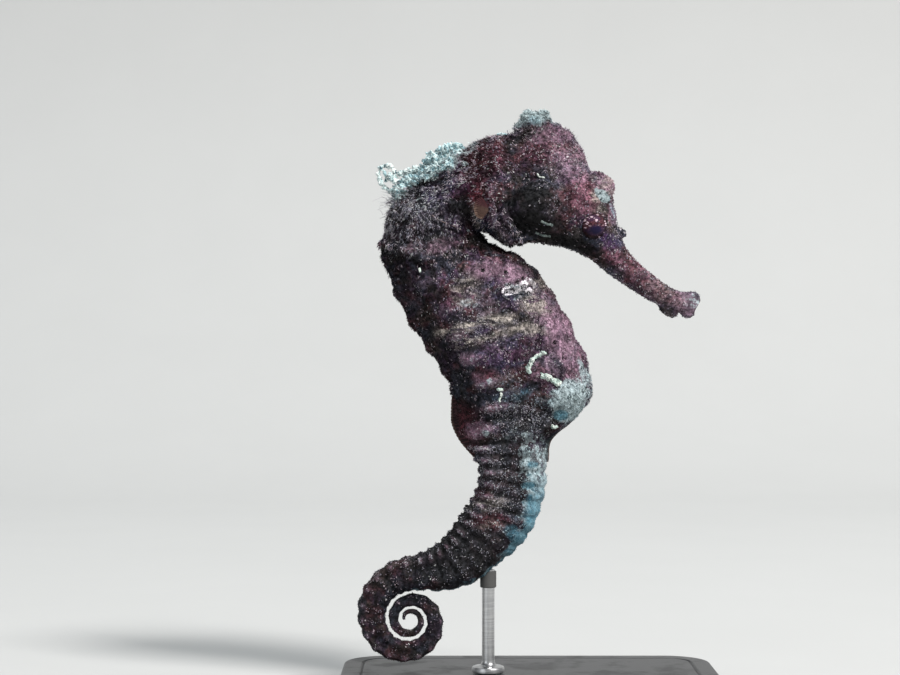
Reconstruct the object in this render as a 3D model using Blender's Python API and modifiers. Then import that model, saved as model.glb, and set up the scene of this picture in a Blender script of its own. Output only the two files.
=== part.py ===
"""A longsnout seahorse, life size, with its tail curled, on a plain display stand.

The body is one long tube of bony rings. It is lofted through named stations along
its mid-line, from the mouth to the tip of the tail, and parted by thin cuts into
head, neck, trunk and lengths of tail. Eyes, gill covers, crown and fins are pieces
of their own, let into the body or standing on it with the same thin gap.

Frame: metres, +Z up, +X the way the animal faces, mirrored about Y = 0.
"""

import math
from dataclasses import dataclass

import bmesh
import bpy
import numpy as np
from mathutils import Matrix, Vector

MM = 0.001
GAP = 0.3               # clear space between neighbouring pieces, in mm

# Driving dimensions, in millimetres and degrees.
HEAD_SECTIONS = 15
TRUNK_RINGS = 11
TAIL_RINGS = 39
RING_DIP = 0.035        # how far a groove between rings sinks, as a share of the reach
KNOB_RISE = 0.06        # how far a knob on a ridge stands out, as a share of the reach
TAIL_TAPER = 0.20       # how much shorter the last tail rings are than the first

COIL_LENGTH = 47.0
COIL_STEPS = 40
COIL_RADIUS_START = 7.6
COIL_RADIUS_END = 1.25
COIL_TAPER = 1.1
TIP_DEPTH = 0.9
TIP_ASPECT = 0.92       # width of the curled tail for its depth
TAIL_LENGTHS = 9
TAIL_LENGTH_POWER = 1.4

EYE_RADIUS = 2.05
EYE_PLACE = (10.2, 3.3, 74.1)
EYE_KNOB_PLACE = (11.2, 1.7, 80.3)
EYE_KNOB_REACH = (1.9, 1.3, 2.1)
NOSE_SPINE_PLACE = (14.2, 0.0, 72.8)
NOSE_SPINE_REACH = (0.9, 0.6, 1.2)
NOSE_SPINE_TILT = 30.0
MOUTH_PLACE = (26.6, 0.0, 60.9)
MOUTH_REACH = (0.9, 0.75, 0.9)
JAW_PLACE = (22.1, 0.0, 60.9)
JAW_REACH = (1.6, 1.1, 0.85)
JAW_TILT = -30.0

GILL_PLACE = (1.2, 77.3)
GILL_REACH = (3.7, 3.6)
GILL_INNER = 2.6

CROWN_PLACE = (1.3, 0.0, 89.5)
CROWN_REACH = (3.7, 2.2, 2.9)
CROWN_TILT = 12.0
CROWN_LOBES = 5
CROWN_LOBE_RISE = 0.13

FIN_THICKNESS = 0.6
FIN_ROOT = 1.5          # how deep a fin's blank starts inside the body
DORSAL_FIN_RISE = 1.2
ANAL_FIN_RISE = 1.1
PECTORAL_PLACE = (-6.4, 5.7, 76.3)
PECTORAL_REACH = 3.1
PECTORAL_ROOT = 0.9
PECTORAL_SPREAD = 116.0
PECTORAL_LIFT = 14.0

BASE_SIZE = (60.0, 38.0, 3.0)
BASE_CORNER = 7.0
BASE_EDGE = 0.5
ROD_X = -6.6
ROD_RADIUS = 1.0
ROD_FOOT_RADIUS = 2.6
ROD_FOOT_HEIGHT = 1.0
ROD_TOP = 26.0          # before the tail's own shape is cut out of it

# Half cross-sections from the back to the belly, as (height, reach) pairs. Height
# runs from 1 on the back to -1 on the belly, and reach is a share of half the width.
# The second, fourth and seventh pairs are the upper, side and lower ridges.
ROUND = tuple((math.cos(math.pi * i / 8), math.sin(math.pi * i / 8)) for i in range(9))
FACE = ((1.0, 0.0), (0.94, 0.34), (0.76, 0.64), (0.46, 0.92), (0.12, 1.0),
        (-0.28, 0.94), (-0.62, 0.74), (-0.88, 0.42), (-1.0, 0.0))
CHEEK = ((1.0, 0.0), (0.93, 0.20), (0.70, 0.42), (0.38, 0.66), (0.02, 0.90),
         (-0.34, 1.0), (-0.66, 0.90), (-0.90, 0.55), (-1.0, 0.0))
NECK = ((1.0, 0.0), (0.95, 0.30), (0.74, 0.60), (0.42, 0.88), (0.06, 1.0),
        (-0.32, 0.98), (-0.66, 0.80), (-0.90, 0.46), (-1.0, 0.0))
TRUNK = ((0.94, 0.0), (1.0, 0.38), (0.78, 0.70), (0.50, 1.0), (0.10, 0.95),
         (-0.32, 0.92), (-0.68, 0.76), (-0.91, 0.42), (-1.0, 0.0))
TAIL = ((0.93, 0.0), (0.98, 0.36), (0.92, 0.68), (0.72, 0.97), (0.32, 0.90),
        (-0.10, 0.92), (-0.50, 1.0), (-0.88, 0.60), (-1.0, 0.0))
RIDGES = (1, 3, 6)


@dataclass(frozen=True)
class Station:
    """One cross-section of the body, in millimetres and degrees."""

    name: str
    x: float
    z: float
    lean: float         # direction from belly to back, turned up from +X
    depth: float
    width: float
    profile: tuple


BODY = (
    Station("mouth", 26.2, 61.0, 62.0, 3.0, 2.5, ROUND),
    Station("lip", 25.0, 61.5, 62.0, 3.7, 3.1, ROUND),
    Station("snout_front", 22.0, 62.6, 52.0, 3.6, 3.1, ROUND),
    Station("snout_mid", 17.9, 65.2, 52.3, 4.2, 3.4, ROUND),
    Station("snout_rear", 13.9, 68.4, 52.3, 5.2, 4.2, ROUND),
    Station("snout_base", 11.1, 72.0, 53.0, 8.1, 6.2, FACE),
    Station("eye", 8.8, 74.6, 56.0, 11.0, 8.2, FACE),
    Station("brow", 6.3, 76.6, 61.0, 13.7, 9.2, FACE),
    Station("forehead", 4.1, 79.2, 68.0, 17.7, 9.9, CHEEK),
    Station("crown", 1.0, 79.9, 78.0, 18.9, 10.5, CHEEK),
    Station("hind_crown", -2.1, 79.6, 88.0, 18.1, 10.7, CHEEK),
    Station("gill_rear", -5.2, 79.4, 98.0, 17.4, 10.2, NECK),
    Station("nape", -8.8, 79.0, 111.0, 13.8, 9.6, NECK),
    Station("neck", -11.7, 77.7, 131.0, 12.4, 9.6, NECK),
    Station("shoulder", -14.2, 75.8, 152.0, 14.4, 10.2, NECK),
    Station("collar", -14.8, 72.8, 170.0, 16.4, 11.0, TRUNK),
    Station("breast", -14.3, 69.9, 183.0, 18.1, 11.8, TRUNK),
    Station("chest", -12.6, 67.4, 194.0, 19.5, 12.3, TRUNK),
    Station("rib_1", -9.9, 64.1, 201.0, 21.3, 12.7, TRUNK),
    Station("rib_2", -7.1, 60.0, 203.0, 21.9, 12.9, TRUNK),
    Station("rib_3", -4.6, 56.1, 202.0, 21.6, 13.0, TRUNK),
    Station("belly", -2.8, 52.7, 199.0, 21.6, 13.0, TRUNK),
    Station("loin_1", -1.6, 49.8, 195.0, 22.0, 12.9, TRUNK),
    Station("loin_2", -1.0, 47.2, 191.0, 21.9, 12.7, TRUNK),
    Station("hip", -0.9, 45.2, 187.0, 21.4, 12.4, TRUNK),
    Station("rump", -2.0, 43.1, 183.0, 18.6, 11.8, TRUNK),
    Station("vent", -3.6, 39.8, 180.0, 13.2, 10.4, TAIL),
    Station("tail_a", -3.0, 36.9, 176.0, 11.7, 9.7, TAIL),
    Station("tail_b", -2.8, 34.2, 171.0, 11.0, 9.2, TAIL),
    Station("tail_c", -3.2, 31.3, 165.0, 10.9, 8.8, TAIL),
    Station("tail_d", -4.4, 28.4, 157.0, 11.0, 8.5, TAIL),
    Station("tail_e", -6.4, 25.7, 147.0, 10.7, 8.1, TAIL),
    Station("tail_f", -8.7, 23.3, 138.0, 9.7, 7.6, TAIL),
    Station("tail_g", -11.3, 20.9, 124.0, 8.8, 7.0, TAIL),
    Station("tail_h", -14.7, 19.5, 103.0, 7.3, 6.3, TAIL),
    Station("tail_i", -18.8, 18.9, 92.0, 5.9, 5.4, TAIL),
)

PLUM = (0.115, 0.045, 0.060)
PLUM_LIGHT = (0.190, 0.085, 0.100)
MAROON = (0.150, 0.040, 0.055)
SLATE = (0.060, 0.050, 0.065)
SILT = (0.300, 0.270, 0.260)


# Scene and materials


def clear_scene():
    """Remove every object of the open file."""
    for thing in list(bpy.data.objects):
        bpy.data.objects.remove(thing, do_unlink=True)


def new_collection(name):
    """A collection linked to the scene."""
    collection = bpy.data.collections.new(name)
    bpy.context.scene.collection.children.link(collection)
    return collection


def new_material(name, colour, roughness=0.75, metallic=0.0):
    """A Principled material of one colour."""
    material = bpy.data.materials.new(name)
    material.use_nodes = True
    shader = material.node_tree.nodes["Principled BSDF"]
    shader.inputs["Base Color"].default_value = (*colour, 1.0)
    shader.inputs["Roughness"].default_value = roughness
    shader.inputs["Metallic"].default_value = metallic
    return material


def new_object(name, mesh, collection):
    """An object for a mesh, in one collection."""
    thing = bpy.data.objects.new(name, mesh)
    collection.objects.link(thing)
    return thing


def as_cutter(thing):
    """Mark a helper solid, which only shapes other pieces."""
    thing.hide_render = True
    thing.display_type = "WIRE"
    return thing


def boolean(target, tool, operation):
    """Cut, join or keep the common part of two solids."""
    modifier = target.modifiers.new(f"{operation.lower()}_{tool.name}", "BOOLEAN")
    modifier.operation = operation
    modifier.solver = "EXACT"
    modifier.object = tool


# The mid-line of the body


def curled_end(last):
    """Stations of the tail's end, which curls to the belly side on a shrinking radius."""
    heading = math.radians(last.lean + 90)
    step = COIL_LENGTH / COIL_STEPS
    x, z = last.x, last.z
    stations = []
    for i in range(1, COIL_STEPS + 1):
        share = i / COIL_STEPS
        radius = COIL_RADIUS_START + (COIL_RADIUS_END - COIL_RADIUS_START) * share
        heading += step / radius
        x += step * math.cos(heading)
        z += step * math.sin(heading)
        depth = TIP_DEPTH + (last.depth - TIP_DEPTH) * (1 - share) ** COIL_TAPER
        lean = math.degrees(heading) - 90
        stations.append(Station(f"coil_{i:02d}", x, z, lean, depth, depth * TIP_ASPECT, TAIL))
    return stations


class Track:
    """The body's mid-line and cross-sections, read at any length from the mouth."""

    FINE = 12           # steps between two stations

    def __init__(self, stations):
        rows = np.array([self.row(station) for station in stations])
        strides = np.hypot(*np.diff(rows[:, :2], axis=0).T)
        knots = np.concatenate(([0.0], np.cumsum(strides)))
        self.length_at = dict(zip((station.name for station in stations), knots))
        self.knots, self.rows = self.refine(knots, rows)

    @staticmethod
    def row(station):
        """All the numbers of a station in one list."""
        pairs = [value for pair in station.profile for value in pair]
        return [station.x, station.z, station.lean, station.depth, station.width, *pairs]

    @classmethod
    def refine(cls, knots, rows):
        """Cubic steps between the stations, with Catmull-Rom slopes."""
        slopes = np.gradient(rows, knots, axis=0)
        fine_knots, fine_rows = [], []
        for i in range(len(knots) - 1):
            span = knots[i + 1] - knots[i]
            for j in range(cls.FINE):
                t = j / cls.FINE
                start = (2 * t**3 - 3 * t**2 + 1) * rows[i] + (t**3 - 2 * t**2 + t) * span * slopes[i]
                end = (3 * t**2 - 2 * t**3) * rows[i + 1] + (t**3 - t**2) * span * slopes[i + 1]
                fine_knots.append(knots[i] + t * span)
                fine_rows.append(start + end)
        return np.array([*fine_knots, knots[-1]]), np.array([*fine_rows, rows[-1]])

    @property
    def end(self):
        """Length of the whole body."""
        return self.knots[-1]

    def read(self, length):
        """Centre, back direction, depth, width and profile at one length."""
        values = [np.interp(length, self.knots, column) for column in self.rows.T]
        lean = math.radians(values[2])
        centre = Vector((values[0], 0.0, values[1]))
        back = Vector((math.cos(lean), 0.0, math.sin(lean)))
        pairs = list(zip(values[5::2], values[6::2]))
        return centre, back, values[3], values[4], pairs

    def section(self, length, relief=0.0, grow=0.0):
        """Points round the body at one length.

        relief is -1 in a groove and 1 on the crest of a ring, and grow moves every
        point outwards, for a cutter that leaves a gap.
        """
        centre, back, depth, width, pairs = self.read(length)
        half = []
        for index, (height, reach) in enumerate(pairs):
            swell = 1 + RING_DIP * min(relief, 0)
            if index in RIDGES:
                swell += KNOB_RISE * max(relief, 0)
            up = height * depth / 2 * swell
            out = reach * width / 2 * swell
            size = math.hypot(up, out)
            push = 1 + grow / size
            half.append((up * push, out * push))
        right = [centre + back * up - Vector((0, out, 0)) for up, out in half]
        left = [centre + back * up + Vector((0, out, 0)) for up, out in half[-2:0:-1]]
        return [point * MM for point in right + left]


def ring_marks(track):
    """Pairs of length and relief: a groove at each end of a ring and a crest between."""
    gill, vent = track.length_at["gill_rear"], track.length_at["vent"]
    marks = [(length, 0.0) for length in np.linspace(0, gill, HEAD_SECTIONS)[:-1]]
    trunk = np.linspace(gill, vent, TRUNK_RINGS + 1)
    for start, stop in zip(trunk, trunk[1:]):
        quarter = (stop - start) / 4
        marks += [(start, -1.0), (start + quarter, 0.25), (start + 2 * quarter, 1.0), (stop - quarter, 0.25)]
    shares = np.linspace(0, 1, TAIL_RINGS + 1)
    tail = vent + (track.end - vent) * shares * (1 + TAIL_TAPER / 2 * (1 - shares))
    for start, stop in zip(tail, tail[1:]):
        marks += [(start, -1.0), ((start + stop) / 2, 1.0)]
    return [*marks, (track.end, -1.0)]


def piece_sections(track, start, stop, grow=0.0):
    """Cross-sections from one length to another, with the rings' grooves and crests."""
    marks = ring_marks(track)
    lengths = [mark[0] for mark in marks]
    reliefs = [mark[1] for mark in marks]
    inner = [length for length in lengths if start + GAP < length < stop - GAP]
    stops = [start, *inner, stop]
    return [track.section(length, np.interp(length, lengths, reliefs), grow) for length in stops]


# Solids


def mirrored(place, side):
    """A place on the left (side 1), or its mirror image on the right (side -1)."""
    return (place[0], side * place[1], place[2])


def loft(name, sections, collection):
    """A closed solid through cross-sections that have the same number of points."""
    count = len(sections[0])
    points = [point for section in sections for point in section]
    faces = []
    for row in range(len(sections) - 1):
        for i in range(count):
            j = (i + 1) % count
            faces.append((row * count + i, row * count + j, (row + 1) * count + j, (row + 1) * count + i))
    faces.append(tuple(reversed(range(count))))
    faces.append(tuple(range(len(points) - count, len(points))))
    mesh = bpy.data.meshes.new(name)
    mesh.from_pydata(points, [], faces)
    shell = bmesh.new()
    shell.from_mesh(mesh)
    bmesh.ops.recalc_face_normals(shell, faces=shell.faces)
    shell.to_mesh(mesh)
    shell.free()
    mesh.shade_smooth()
    mesh.set_sharp_from_angle(angle=math.radians(35))
    return new_object(name, mesh, collection)


def ellipsoid(name, place, reach, collection, tilt=0.0, rings=10, segments=16, bulge=None):
    """A ball stretched along its own axes, tilted in the XZ plane, with an optional bulge."""
    mesh = bpy.data.meshes.new(name)
    shell = bmesh.new()
    bmesh.ops.create_uvsphere(shell, u_segments=segments, v_segments=rings, radius=1.0)
    for vertex in shell.verts:
        if bulge:
            vertex.co *= bulge(vertex.co)
        vertex.co = Vector(a * b for a, b in zip(vertex.co, reach))
    turn = Matrix.Rotation(math.radians(-tilt), 4, "Y")
    bmesh.ops.transform(shell, matrix=turn, verts=shell.verts)
    bmesh.ops.translate(shell, vec=Vector(place), verts=shell.verts)
    bmesh.ops.scale(shell, vec=(MM, MM, MM), verts=shell.verts)
    shell.to_mesh(mesh)
    shell.free()
    mesh.shade_smooth()
    return new_object(name, mesh, collection)


def side_post(name, place, reach, inner, outer, side, collection):
    """An oval post along Y, on one side of the body."""
    mesh = bpy.data.meshes.new(name)
    shell = bmesh.new()
    bmesh.ops.create_cone(
        shell, cap_ends=True, segments=20, radius1=1.0, radius2=1.0, depth=outer - inner)
    stretch = Matrix.Diagonal((reach[0], reach[1], 1.0, 1.0))
    turn = Matrix.Rotation(math.radians(90), 4, "X")
    shift = Matrix.Translation((place[0], side * (inner + outer) / 2, place[1]))
    bmesh.ops.transform(shell, matrix=Matrix.Scale(MM, 4) @ shift @ turn @ stretch, verts=shell.verts)
    shell.to_mesh(mesh)
    shell.free()
    return new_object(name, mesh, collection)


class Seahorse:
    """Builds every piece of the animal into one collection."""

    SIDES = (("right", -1), ("left", 1))

    def __init__(self, parts, cutters):
        self.parts = parts
        self.cutters = cutters
        self.track = Track((*BODY, *curled_end(BODY[-1])))

    def length(self, station):
        """Length from the mouth to a named station."""
        return self.track.length_at[station]

    def body_piece(self, name, start, stop, material):
        """One length of the body, half a gap short of both its ends."""
        first = start + GAP / 2 if start > 0 else start
        last = stop - GAP / 2 if stop < self.track.end else stop
        piece = loft(name, piece_sections(self.track, first, last), self.parts)
        piece.data.materials.append(material)
        return piece

    def body_cutter(self, name, start, stop):
        """The body's own shape, one gap larger, for what stands on it."""
        return as_cutter(loft(name, piece_sections(self.track, start, stop, GAP), self.cutters))

    def build_body(self):
        """Snout, head, neck and the three lengths of the trunk."""
        plum = new_material("plum_skin", PLUM)
        snout = self.body_piece("snout", 0.0, self.length("snout_rear"), plum)
        self.add_mouth(snout)
        head_material = new_material("head_skin", MAROON)
        head = self.body_piece("head", self.length("snout_rear"), self.length("gill_rear"), head_material)
        self.add_head_knobs(head)
        self.add_eyes(head)
        self.add_gill_covers(head)
        spans = (("neck", "gill_rear", "collar"), ("trunk_upper", "collar", "rib_2"),
                 ("trunk_middle", "rib_2", "loin_1"), ("trunk_lower", "loin_1", "vent"))
        for name, start, stop in spans:
            self.body_piece(name, self.length(start), self.length(stop), plum)

    def add_mouth(self, snout):
        """The mouth's shallow hollow, and the jaw joint's bump under the snout's end."""
        hollow = ellipsoid("mouth_hollow", MOUTH_PLACE, MOUTH_REACH, self.cutters)
        boolean(snout, as_cutter(hollow), "DIFFERENCE")
        bump = ellipsoid("jaw_bump", JAW_PLACE, JAW_REACH, self.cutters, tilt=JAW_TILT)
        boolean(snout, as_cutter(bump), "UNION")

    def add_head_knobs(self, head):
        """The knob over each eye, and the small spine on the nose."""
        for side_name, side in self.SIDES:
            place = mirrored(EYE_KNOB_PLACE, side)
            knob = ellipsoid(f"eye_knob_{side_name}", place, EYE_KNOB_REACH, self.cutters)
            boolean(head, as_cutter(knob), "UNION")
        spine = ellipsoid(
            "nose_spine", NOSE_SPINE_PLACE, NOSE_SPINE_REACH, self.cutters, tilt=NOSE_SPINE_TILT)
        boolean(head, as_cutter(spine), "UNION")

    def add_eyes(self, head):
        """The eyeballs, each in a socket with a gap round it."""
        material = new_material("eye", SLATE, roughness=0.25)
        for side_name, side in self.SIDES:
            place = mirrored(EYE_PLACE, side)
            socket = ellipsoid(f"eye_socket_{side_name}", place, (EYE_RADIUS + GAP,) * 3, self.cutters)
            boolean(head, as_cutter(socket), "DIFFERENCE")
            eye = ellipsoid(f"eye_{side_name}", place, (EYE_RADIUS,) * 3, self.parts)
            eye.data.materials.append(material)

    def add_gill_covers(self, head):
        """The smooth oval plate on each cheek, let into a pocket of the head."""
        material = new_material("gill_cover", SLATE, roughness=0.6)
        outer = self.track.read(self.length("crown"))[3]
        for side_name, side in self.SIDES:
            pocket_reach = [reach + GAP for reach in GILL_REACH]
            pocket = side_post(f"gill_pocket_{side_name}", GILL_PLACE, pocket_reach,
                               GILL_INNER - GAP, outer, side, self.cutters)
            plug = side_post(f"gill_plug_{side_name}", GILL_PLACE, GILL_REACH,
                             GILL_INNER, outer, side, self.cutters)
            sections = piece_sections(self.track, self.length("brow"), self.length("gill_rear"))
            cover = loft(f"gill_cover_{side_name}", sections, self.parts)
            cover.data.materials.append(material)
            boolean(cover, as_cutter(plug), "INTERSECT")
            boolean(head, as_cutter(pocket), "DIFFERENCE")

    def build_crown(self):
        """The coronet: a rounded, lobed knob on top of the head."""
        def lobes(point):
            around = math.atan2(point.y, point.x)
            return 1 + CROWN_LOBE_RISE * math.cos(CROWN_LOBES * around) * (1 - point.z**2)

        crown = ellipsoid("coronet", CROWN_PLACE, CROWN_REACH, self.parts,
                          tilt=-CROWN_TILT, rings=12, segments=30, bulge=lobes)
        crown.data.materials.append(new_material("crown_skin", SILT))
        boolean(crown, self.body_cutter("crown_seat", self.length("eye"), self.length("nape")), "DIFFERENCE")

    def build_tail(self):
        """The tail in lengths, each shorter than the one before it."""
        material = new_material("tail_skin", PLUM_LIGHT)
        start = self.length("vent")
        shares = [1 - (1 - i / TAIL_LENGTHS) ** TAIL_LENGTH_POWER for i in range(TAIL_LENGTHS + 1)]
        marks = [start + (self.track.end - start) * share for share in shares]
        for i in range(TAIL_LENGTHS):
            self.body_piece(f"tail_{i + 1}", marks[i], marks[i + 1], material)

    def edge_fin(self, name, start, stop, rise, facing, material):
        """A low upright fin on the back (facing 1) or the belly (facing -1)."""
        sections = []
        first, last = self.length(start), self.length(stop)
        for share in np.linspace(0, 1, 13):
            centre, back, depth, _, _ = self.track.read(first + (last - first) * share)
            foot = centre + back * facing * (depth / 2 - FIN_ROOT)
            height = FIN_ROOT + rise * math.sin(math.pi * share) ** 0.6
            tip = foot + back * facing * height
            across = Vector((0, FIN_THICKNESS / 2, 0))
            corners = (foot - across, tip - across, tip + across, foot + across)
            sections.append([MM * corner for corner in corners])
        fin = loft(name, sections, self.parts)
        fin.data.materials.append(material)
        boolean(fin, self.body_cutter(f"{name}_seat", first - 4, last + 4), "DIFFERENCE")

    def build_fins(self):
        """Dorsal fin, anal fin and the pair of pectoral fins."""
        material = new_material("fin", PLUM_LIGHT, roughness=0.5)
        self.edge_fin("dorsal_fin", "loin_1", "tail_a", DORSAL_FIN_RISE, 1, material)
        self.edge_fin("anal_fin", "rump", "tail_a", ANAL_FIN_RISE, -1, material)
        for side_name, side in self.SIDES:
            self.pectoral_fin(f"pectoral_fin_{side_name}", side, material)

    def pectoral_fin(self, name, side, material):
        """A small fan behind the gill cover, its free edge lifted off the body."""
        shell = bmesh.new()
        half = math.radians(PECTORAL_SPREAD / 2)
        rim = [math.pi - half + 2 * half * i / 10 for i in range(11)]
        corners = [Vector((math.cos(a), 0.0, math.sin(a))) * PECTORAL_REACH for a in rim]
        corners += [Vector((0.0, 0.0, -PECTORAL_ROOT)), Vector((0.0, 0.0, PECTORAL_ROOT))]
        sides = []
        for offset in (-FIN_THICKNESS / 2, FIN_THICKNESS / 2):
            sides.append([shell.verts.new(corner + Vector((0, offset, 0))) for corner in corners])
        shell.faces.new(sides[0])
        shell.faces.new(reversed(sides[1]))
        for i in range(len(corners)):
            j = (i + 1) % len(corners)
            shell.faces.new((sides[0][j], sides[0][i], sides[1][i], sides[1][j]))
        bmesh.ops.recalc_face_normals(shell, faces=shell.faces)
        turn = Matrix.Rotation(side * math.radians(-PECTORAL_LIFT), 4, "Z")
        place = Matrix.Translation(mirrored(PECTORAL_PLACE, side))
        bmesh.ops.transform(shell, matrix=Matrix.Scale(MM, 4) @ place @ turn, verts=shell.verts)
        mesh = bpy.data.meshes.new(name)
        shell.to_mesh(mesh)
        shell.free()
        fin = new_object(name, mesh, self.parts)
        fin.data.materials.append(material)

    def build_stand(self):
        """A flat base plate, and one rod up to the under side of the tail."""
        self.build_base()
        self.build_rod()

    def build_base(self):
        """The plate, with rounded corners and a softened edge."""
        mesh = bpy.data.meshes.new("stand_base")
        shell = bmesh.new()
        bmesh.ops.create_cube(shell, size=1.0)
        bmesh.ops.scale(shell, vec=[size * MM for size in BASE_SIZE], verts=shell.verts)
        bmesh.ops.translate(shell, vec=(0, 0, BASE_SIZE[2] / 2 * MM), verts=shell.verts)
        upright = [edge for edge in shell.edges if abs(edge.verts[0].co.z - edge.verts[1].co.z) > MM]
        bmesh.ops.bevel(shell, geom=upright, offset=BASE_CORNER * MM, segments=5, profile=0.5, affect="EDGES")
        rims = [edge for edge in shell.edges if abs(edge.verts[0].co.z - edge.verts[1].co.z) < MM
                and edge.calc_face_angle(0) > math.radians(60)]
        bmesh.ops.bevel(shell, geom=rims, offset=BASE_EDGE * MM, segments=2, profile=0.5, affect="EDGES")
        shell.to_mesh(mesh)
        shell.free()
        base = new_object("stand_base", mesh, self.parts)
        base.data.materials.append(new_material("stand_black", (0.02, 0.02, 0.022), roughness=0.45))

    def build_rod(self):
        """The turned rod with a small foot, its top shaped to the tail that it carries."""
        foot = BASE_SIZE[2] + GAP
        ledge = foot + ROD_FOOT_HEIGHT
        soft = ROD_FOOT_HEIGHT * 0.4
        outline = ((0.0, ROD_TOP), (ROD_RADIUS, ROD_TOP), (ROD_RADIUS, ledge + 2 * soft),
                   (ROD_RADIUS + soft, ledge + soft / 2), (ROD_FOOT_RADIUS - soft, ledge),
                   (ROD_FOOT_RADIUS, ledge - soft), (ROD_FOOT_RADIUS, foot), (0.0, foot))
        mesh = bpy.data.meshes.new("stand_rod")
        mesh.from_pydata([(x * MM, 0, z * MM) for x, z in outline],
                         [(i, i + 1) for i in range(len(outline) - 1)], [])
        rod = new_object("stand_rod", mesh, self.parts)
        rod.location.x = ROD_X * MM
        screw = rod.modifiers.new("turn", "SCREW")
        screw.steps = 24
        screw.render_steps = 24
        screw.use_merge_vertices = True
        screw.merge_threshold = 0.00001
        mesh.materials.append(new_material("stand_steel", (0.62, 0.62, 0.63), roughness=0.3, metallic=1.0))
        boolean(rod, self.body_cutter("rod_seat", self.length("tail_c"), self.length("tail_h")), "DIFFERENCE")


def main():
    """Build the whole model."""
    clear_scene()
    parts = new_collection("seahorse")
    cutters = new_collection("cutters")
    seahorse = Seahorse(parts, cutters)
    seahorse.build_body()
    seahorse.build_crown()
    seahorse.build_tail()
    seahorse.build_fins()
    seahorse.build_stand()


main()
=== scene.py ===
"""A longsnout seahorse on a plain display stand, life size, in a pale studio.

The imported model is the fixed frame. One skin is lofted along the body's mid-line, joined with
the crown and the knobs of the head, remeshed and then worked: rings, ridges, lids, gill covers,
wrinkles and grain. The coat is thousands of short threads and grains that stand on that skin and
carry its markings. Eyes, fins, worm tubes and the stand are pieces of their own.

The shape is worked in millimetres and written in metres, +Z up, +X the way the animal faces.
"""

import logging
import math
from dataclasses import dataclass, field, fields
from enum import Enum

import bpy
import numpy as np
from mathutils import Matrix, Vector
from mathutils.bvhtree import BVHTree


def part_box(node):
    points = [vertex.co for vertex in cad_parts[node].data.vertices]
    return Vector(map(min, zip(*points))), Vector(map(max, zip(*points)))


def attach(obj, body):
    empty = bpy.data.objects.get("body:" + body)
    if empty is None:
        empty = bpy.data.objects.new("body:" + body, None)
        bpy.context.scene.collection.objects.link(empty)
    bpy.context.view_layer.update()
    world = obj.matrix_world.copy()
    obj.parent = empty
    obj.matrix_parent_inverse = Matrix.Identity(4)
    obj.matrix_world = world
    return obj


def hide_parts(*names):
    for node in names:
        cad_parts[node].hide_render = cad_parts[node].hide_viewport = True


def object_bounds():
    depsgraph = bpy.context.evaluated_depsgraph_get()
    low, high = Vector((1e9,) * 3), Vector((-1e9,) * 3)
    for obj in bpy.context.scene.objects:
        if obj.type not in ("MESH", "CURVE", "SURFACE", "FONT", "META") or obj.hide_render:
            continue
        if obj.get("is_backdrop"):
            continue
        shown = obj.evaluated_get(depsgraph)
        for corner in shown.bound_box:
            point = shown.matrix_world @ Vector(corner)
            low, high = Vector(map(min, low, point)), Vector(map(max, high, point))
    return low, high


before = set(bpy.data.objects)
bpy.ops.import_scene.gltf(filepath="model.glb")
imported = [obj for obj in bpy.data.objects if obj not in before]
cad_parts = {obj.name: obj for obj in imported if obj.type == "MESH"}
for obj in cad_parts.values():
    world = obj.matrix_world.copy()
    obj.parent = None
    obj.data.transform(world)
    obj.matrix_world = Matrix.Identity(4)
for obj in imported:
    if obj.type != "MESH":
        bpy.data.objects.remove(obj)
CAD_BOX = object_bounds()

Array = np.ndarray
Thing = bpy.types.Object
Finish = bpy.types.Material

LOG = logging.getLogger("seahorse")
MM = 0.001
BODY_NAME = "root"
BAKE_MAP = "OFBake"
SIDES = (("right", -1), ("left", 1))
VIEW = (-12.64, -320.0, 56.17)      # where the camera stands, in mm
EYE_CENTRE = (9.8, 3.3, 73.6)       # of the left eyeball, in mm
EYE_RADIUS = 2.05


# Numbers and shapes shared by all pieces


def ramp(value, low: float, high: float):
    """A smooth step.

    Args:
        value: Number or array to read.
        low: Value where the step starts.
        high: Value where it is complete; below low, the step runs the other way.

    Returns:
        0 before low, 1 past high, and a smooth curve between.
    """
    share = np.clip((value - low) / (high - low), 0.0, 1.0)
    return share * share * (3 - 2 * share)


def hill(value, centre: float, width: float):
    """A rounded hill of height 1 round centre, falling away over width."""
    return np.exp(-(((value - centre) / width) ** 2))


def way_off(points: Array, path: tuple) -> Array:
    """Distance of flat points from a broken line.

    Args:
        points: Rows of x and z.
        path: The line's corners, as x and z pairs.

    Returns:
        The shortest distance of each point.
    """
    best = np.full(len(points), np.inf)
    for start, stop in zip(path, path[1:]):
        first, along = np.array(start), np.subtract(stop, start)
        share = np.clip((points - first) @ along / (along @ along), 0, 1)
        gap = points - first - share[:, None] * along
        best = np.minimum(best, np.hypot(gap[:, 0], gap[:, 1]))
    return best


def deselect() -> None:
    """Leave nothing selected, so that an operator acts on new things only."""
    for thing in bpy.context.selected_objects:
        thing.select_set(False)


def pick(thing: Thing) -> Thing:
    """Select one object alone and make it the active one."""
    deselect()
    thing.select_set(True)
    bpy.context.view_layer.objects.active = thing
    return thing


def newest(name: str) -> Thing:
    """Name the object that an operator has just added."""
    thing = bpy.context.object
    thing.name = name
    thing.data.name = name
    return thing


def settle(thing: Thing) -> Thing:
    """Put an object's place into its mesh, and stand it at the origin."""
    thing.data.transform(thing.matrix_world)
    thing.matrix_world = Matrix.Identity(4)
    return thing


def apply(thing: Thing, kind: str, **settings) -> None:
    """Add one modifier and apply it.

    Args:
        thing: Object to change.
        kind: The modifier's type.
        **settings: Its properties.
    """
    pick(thing)
    modifier = thing.modifiers.new(kind.lower(), kind)
    for key, value in settings.items():
        setattr(modifier, key, value)
    bpy.ops.object.modifier_apply(modifier=modifier.name)


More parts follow.
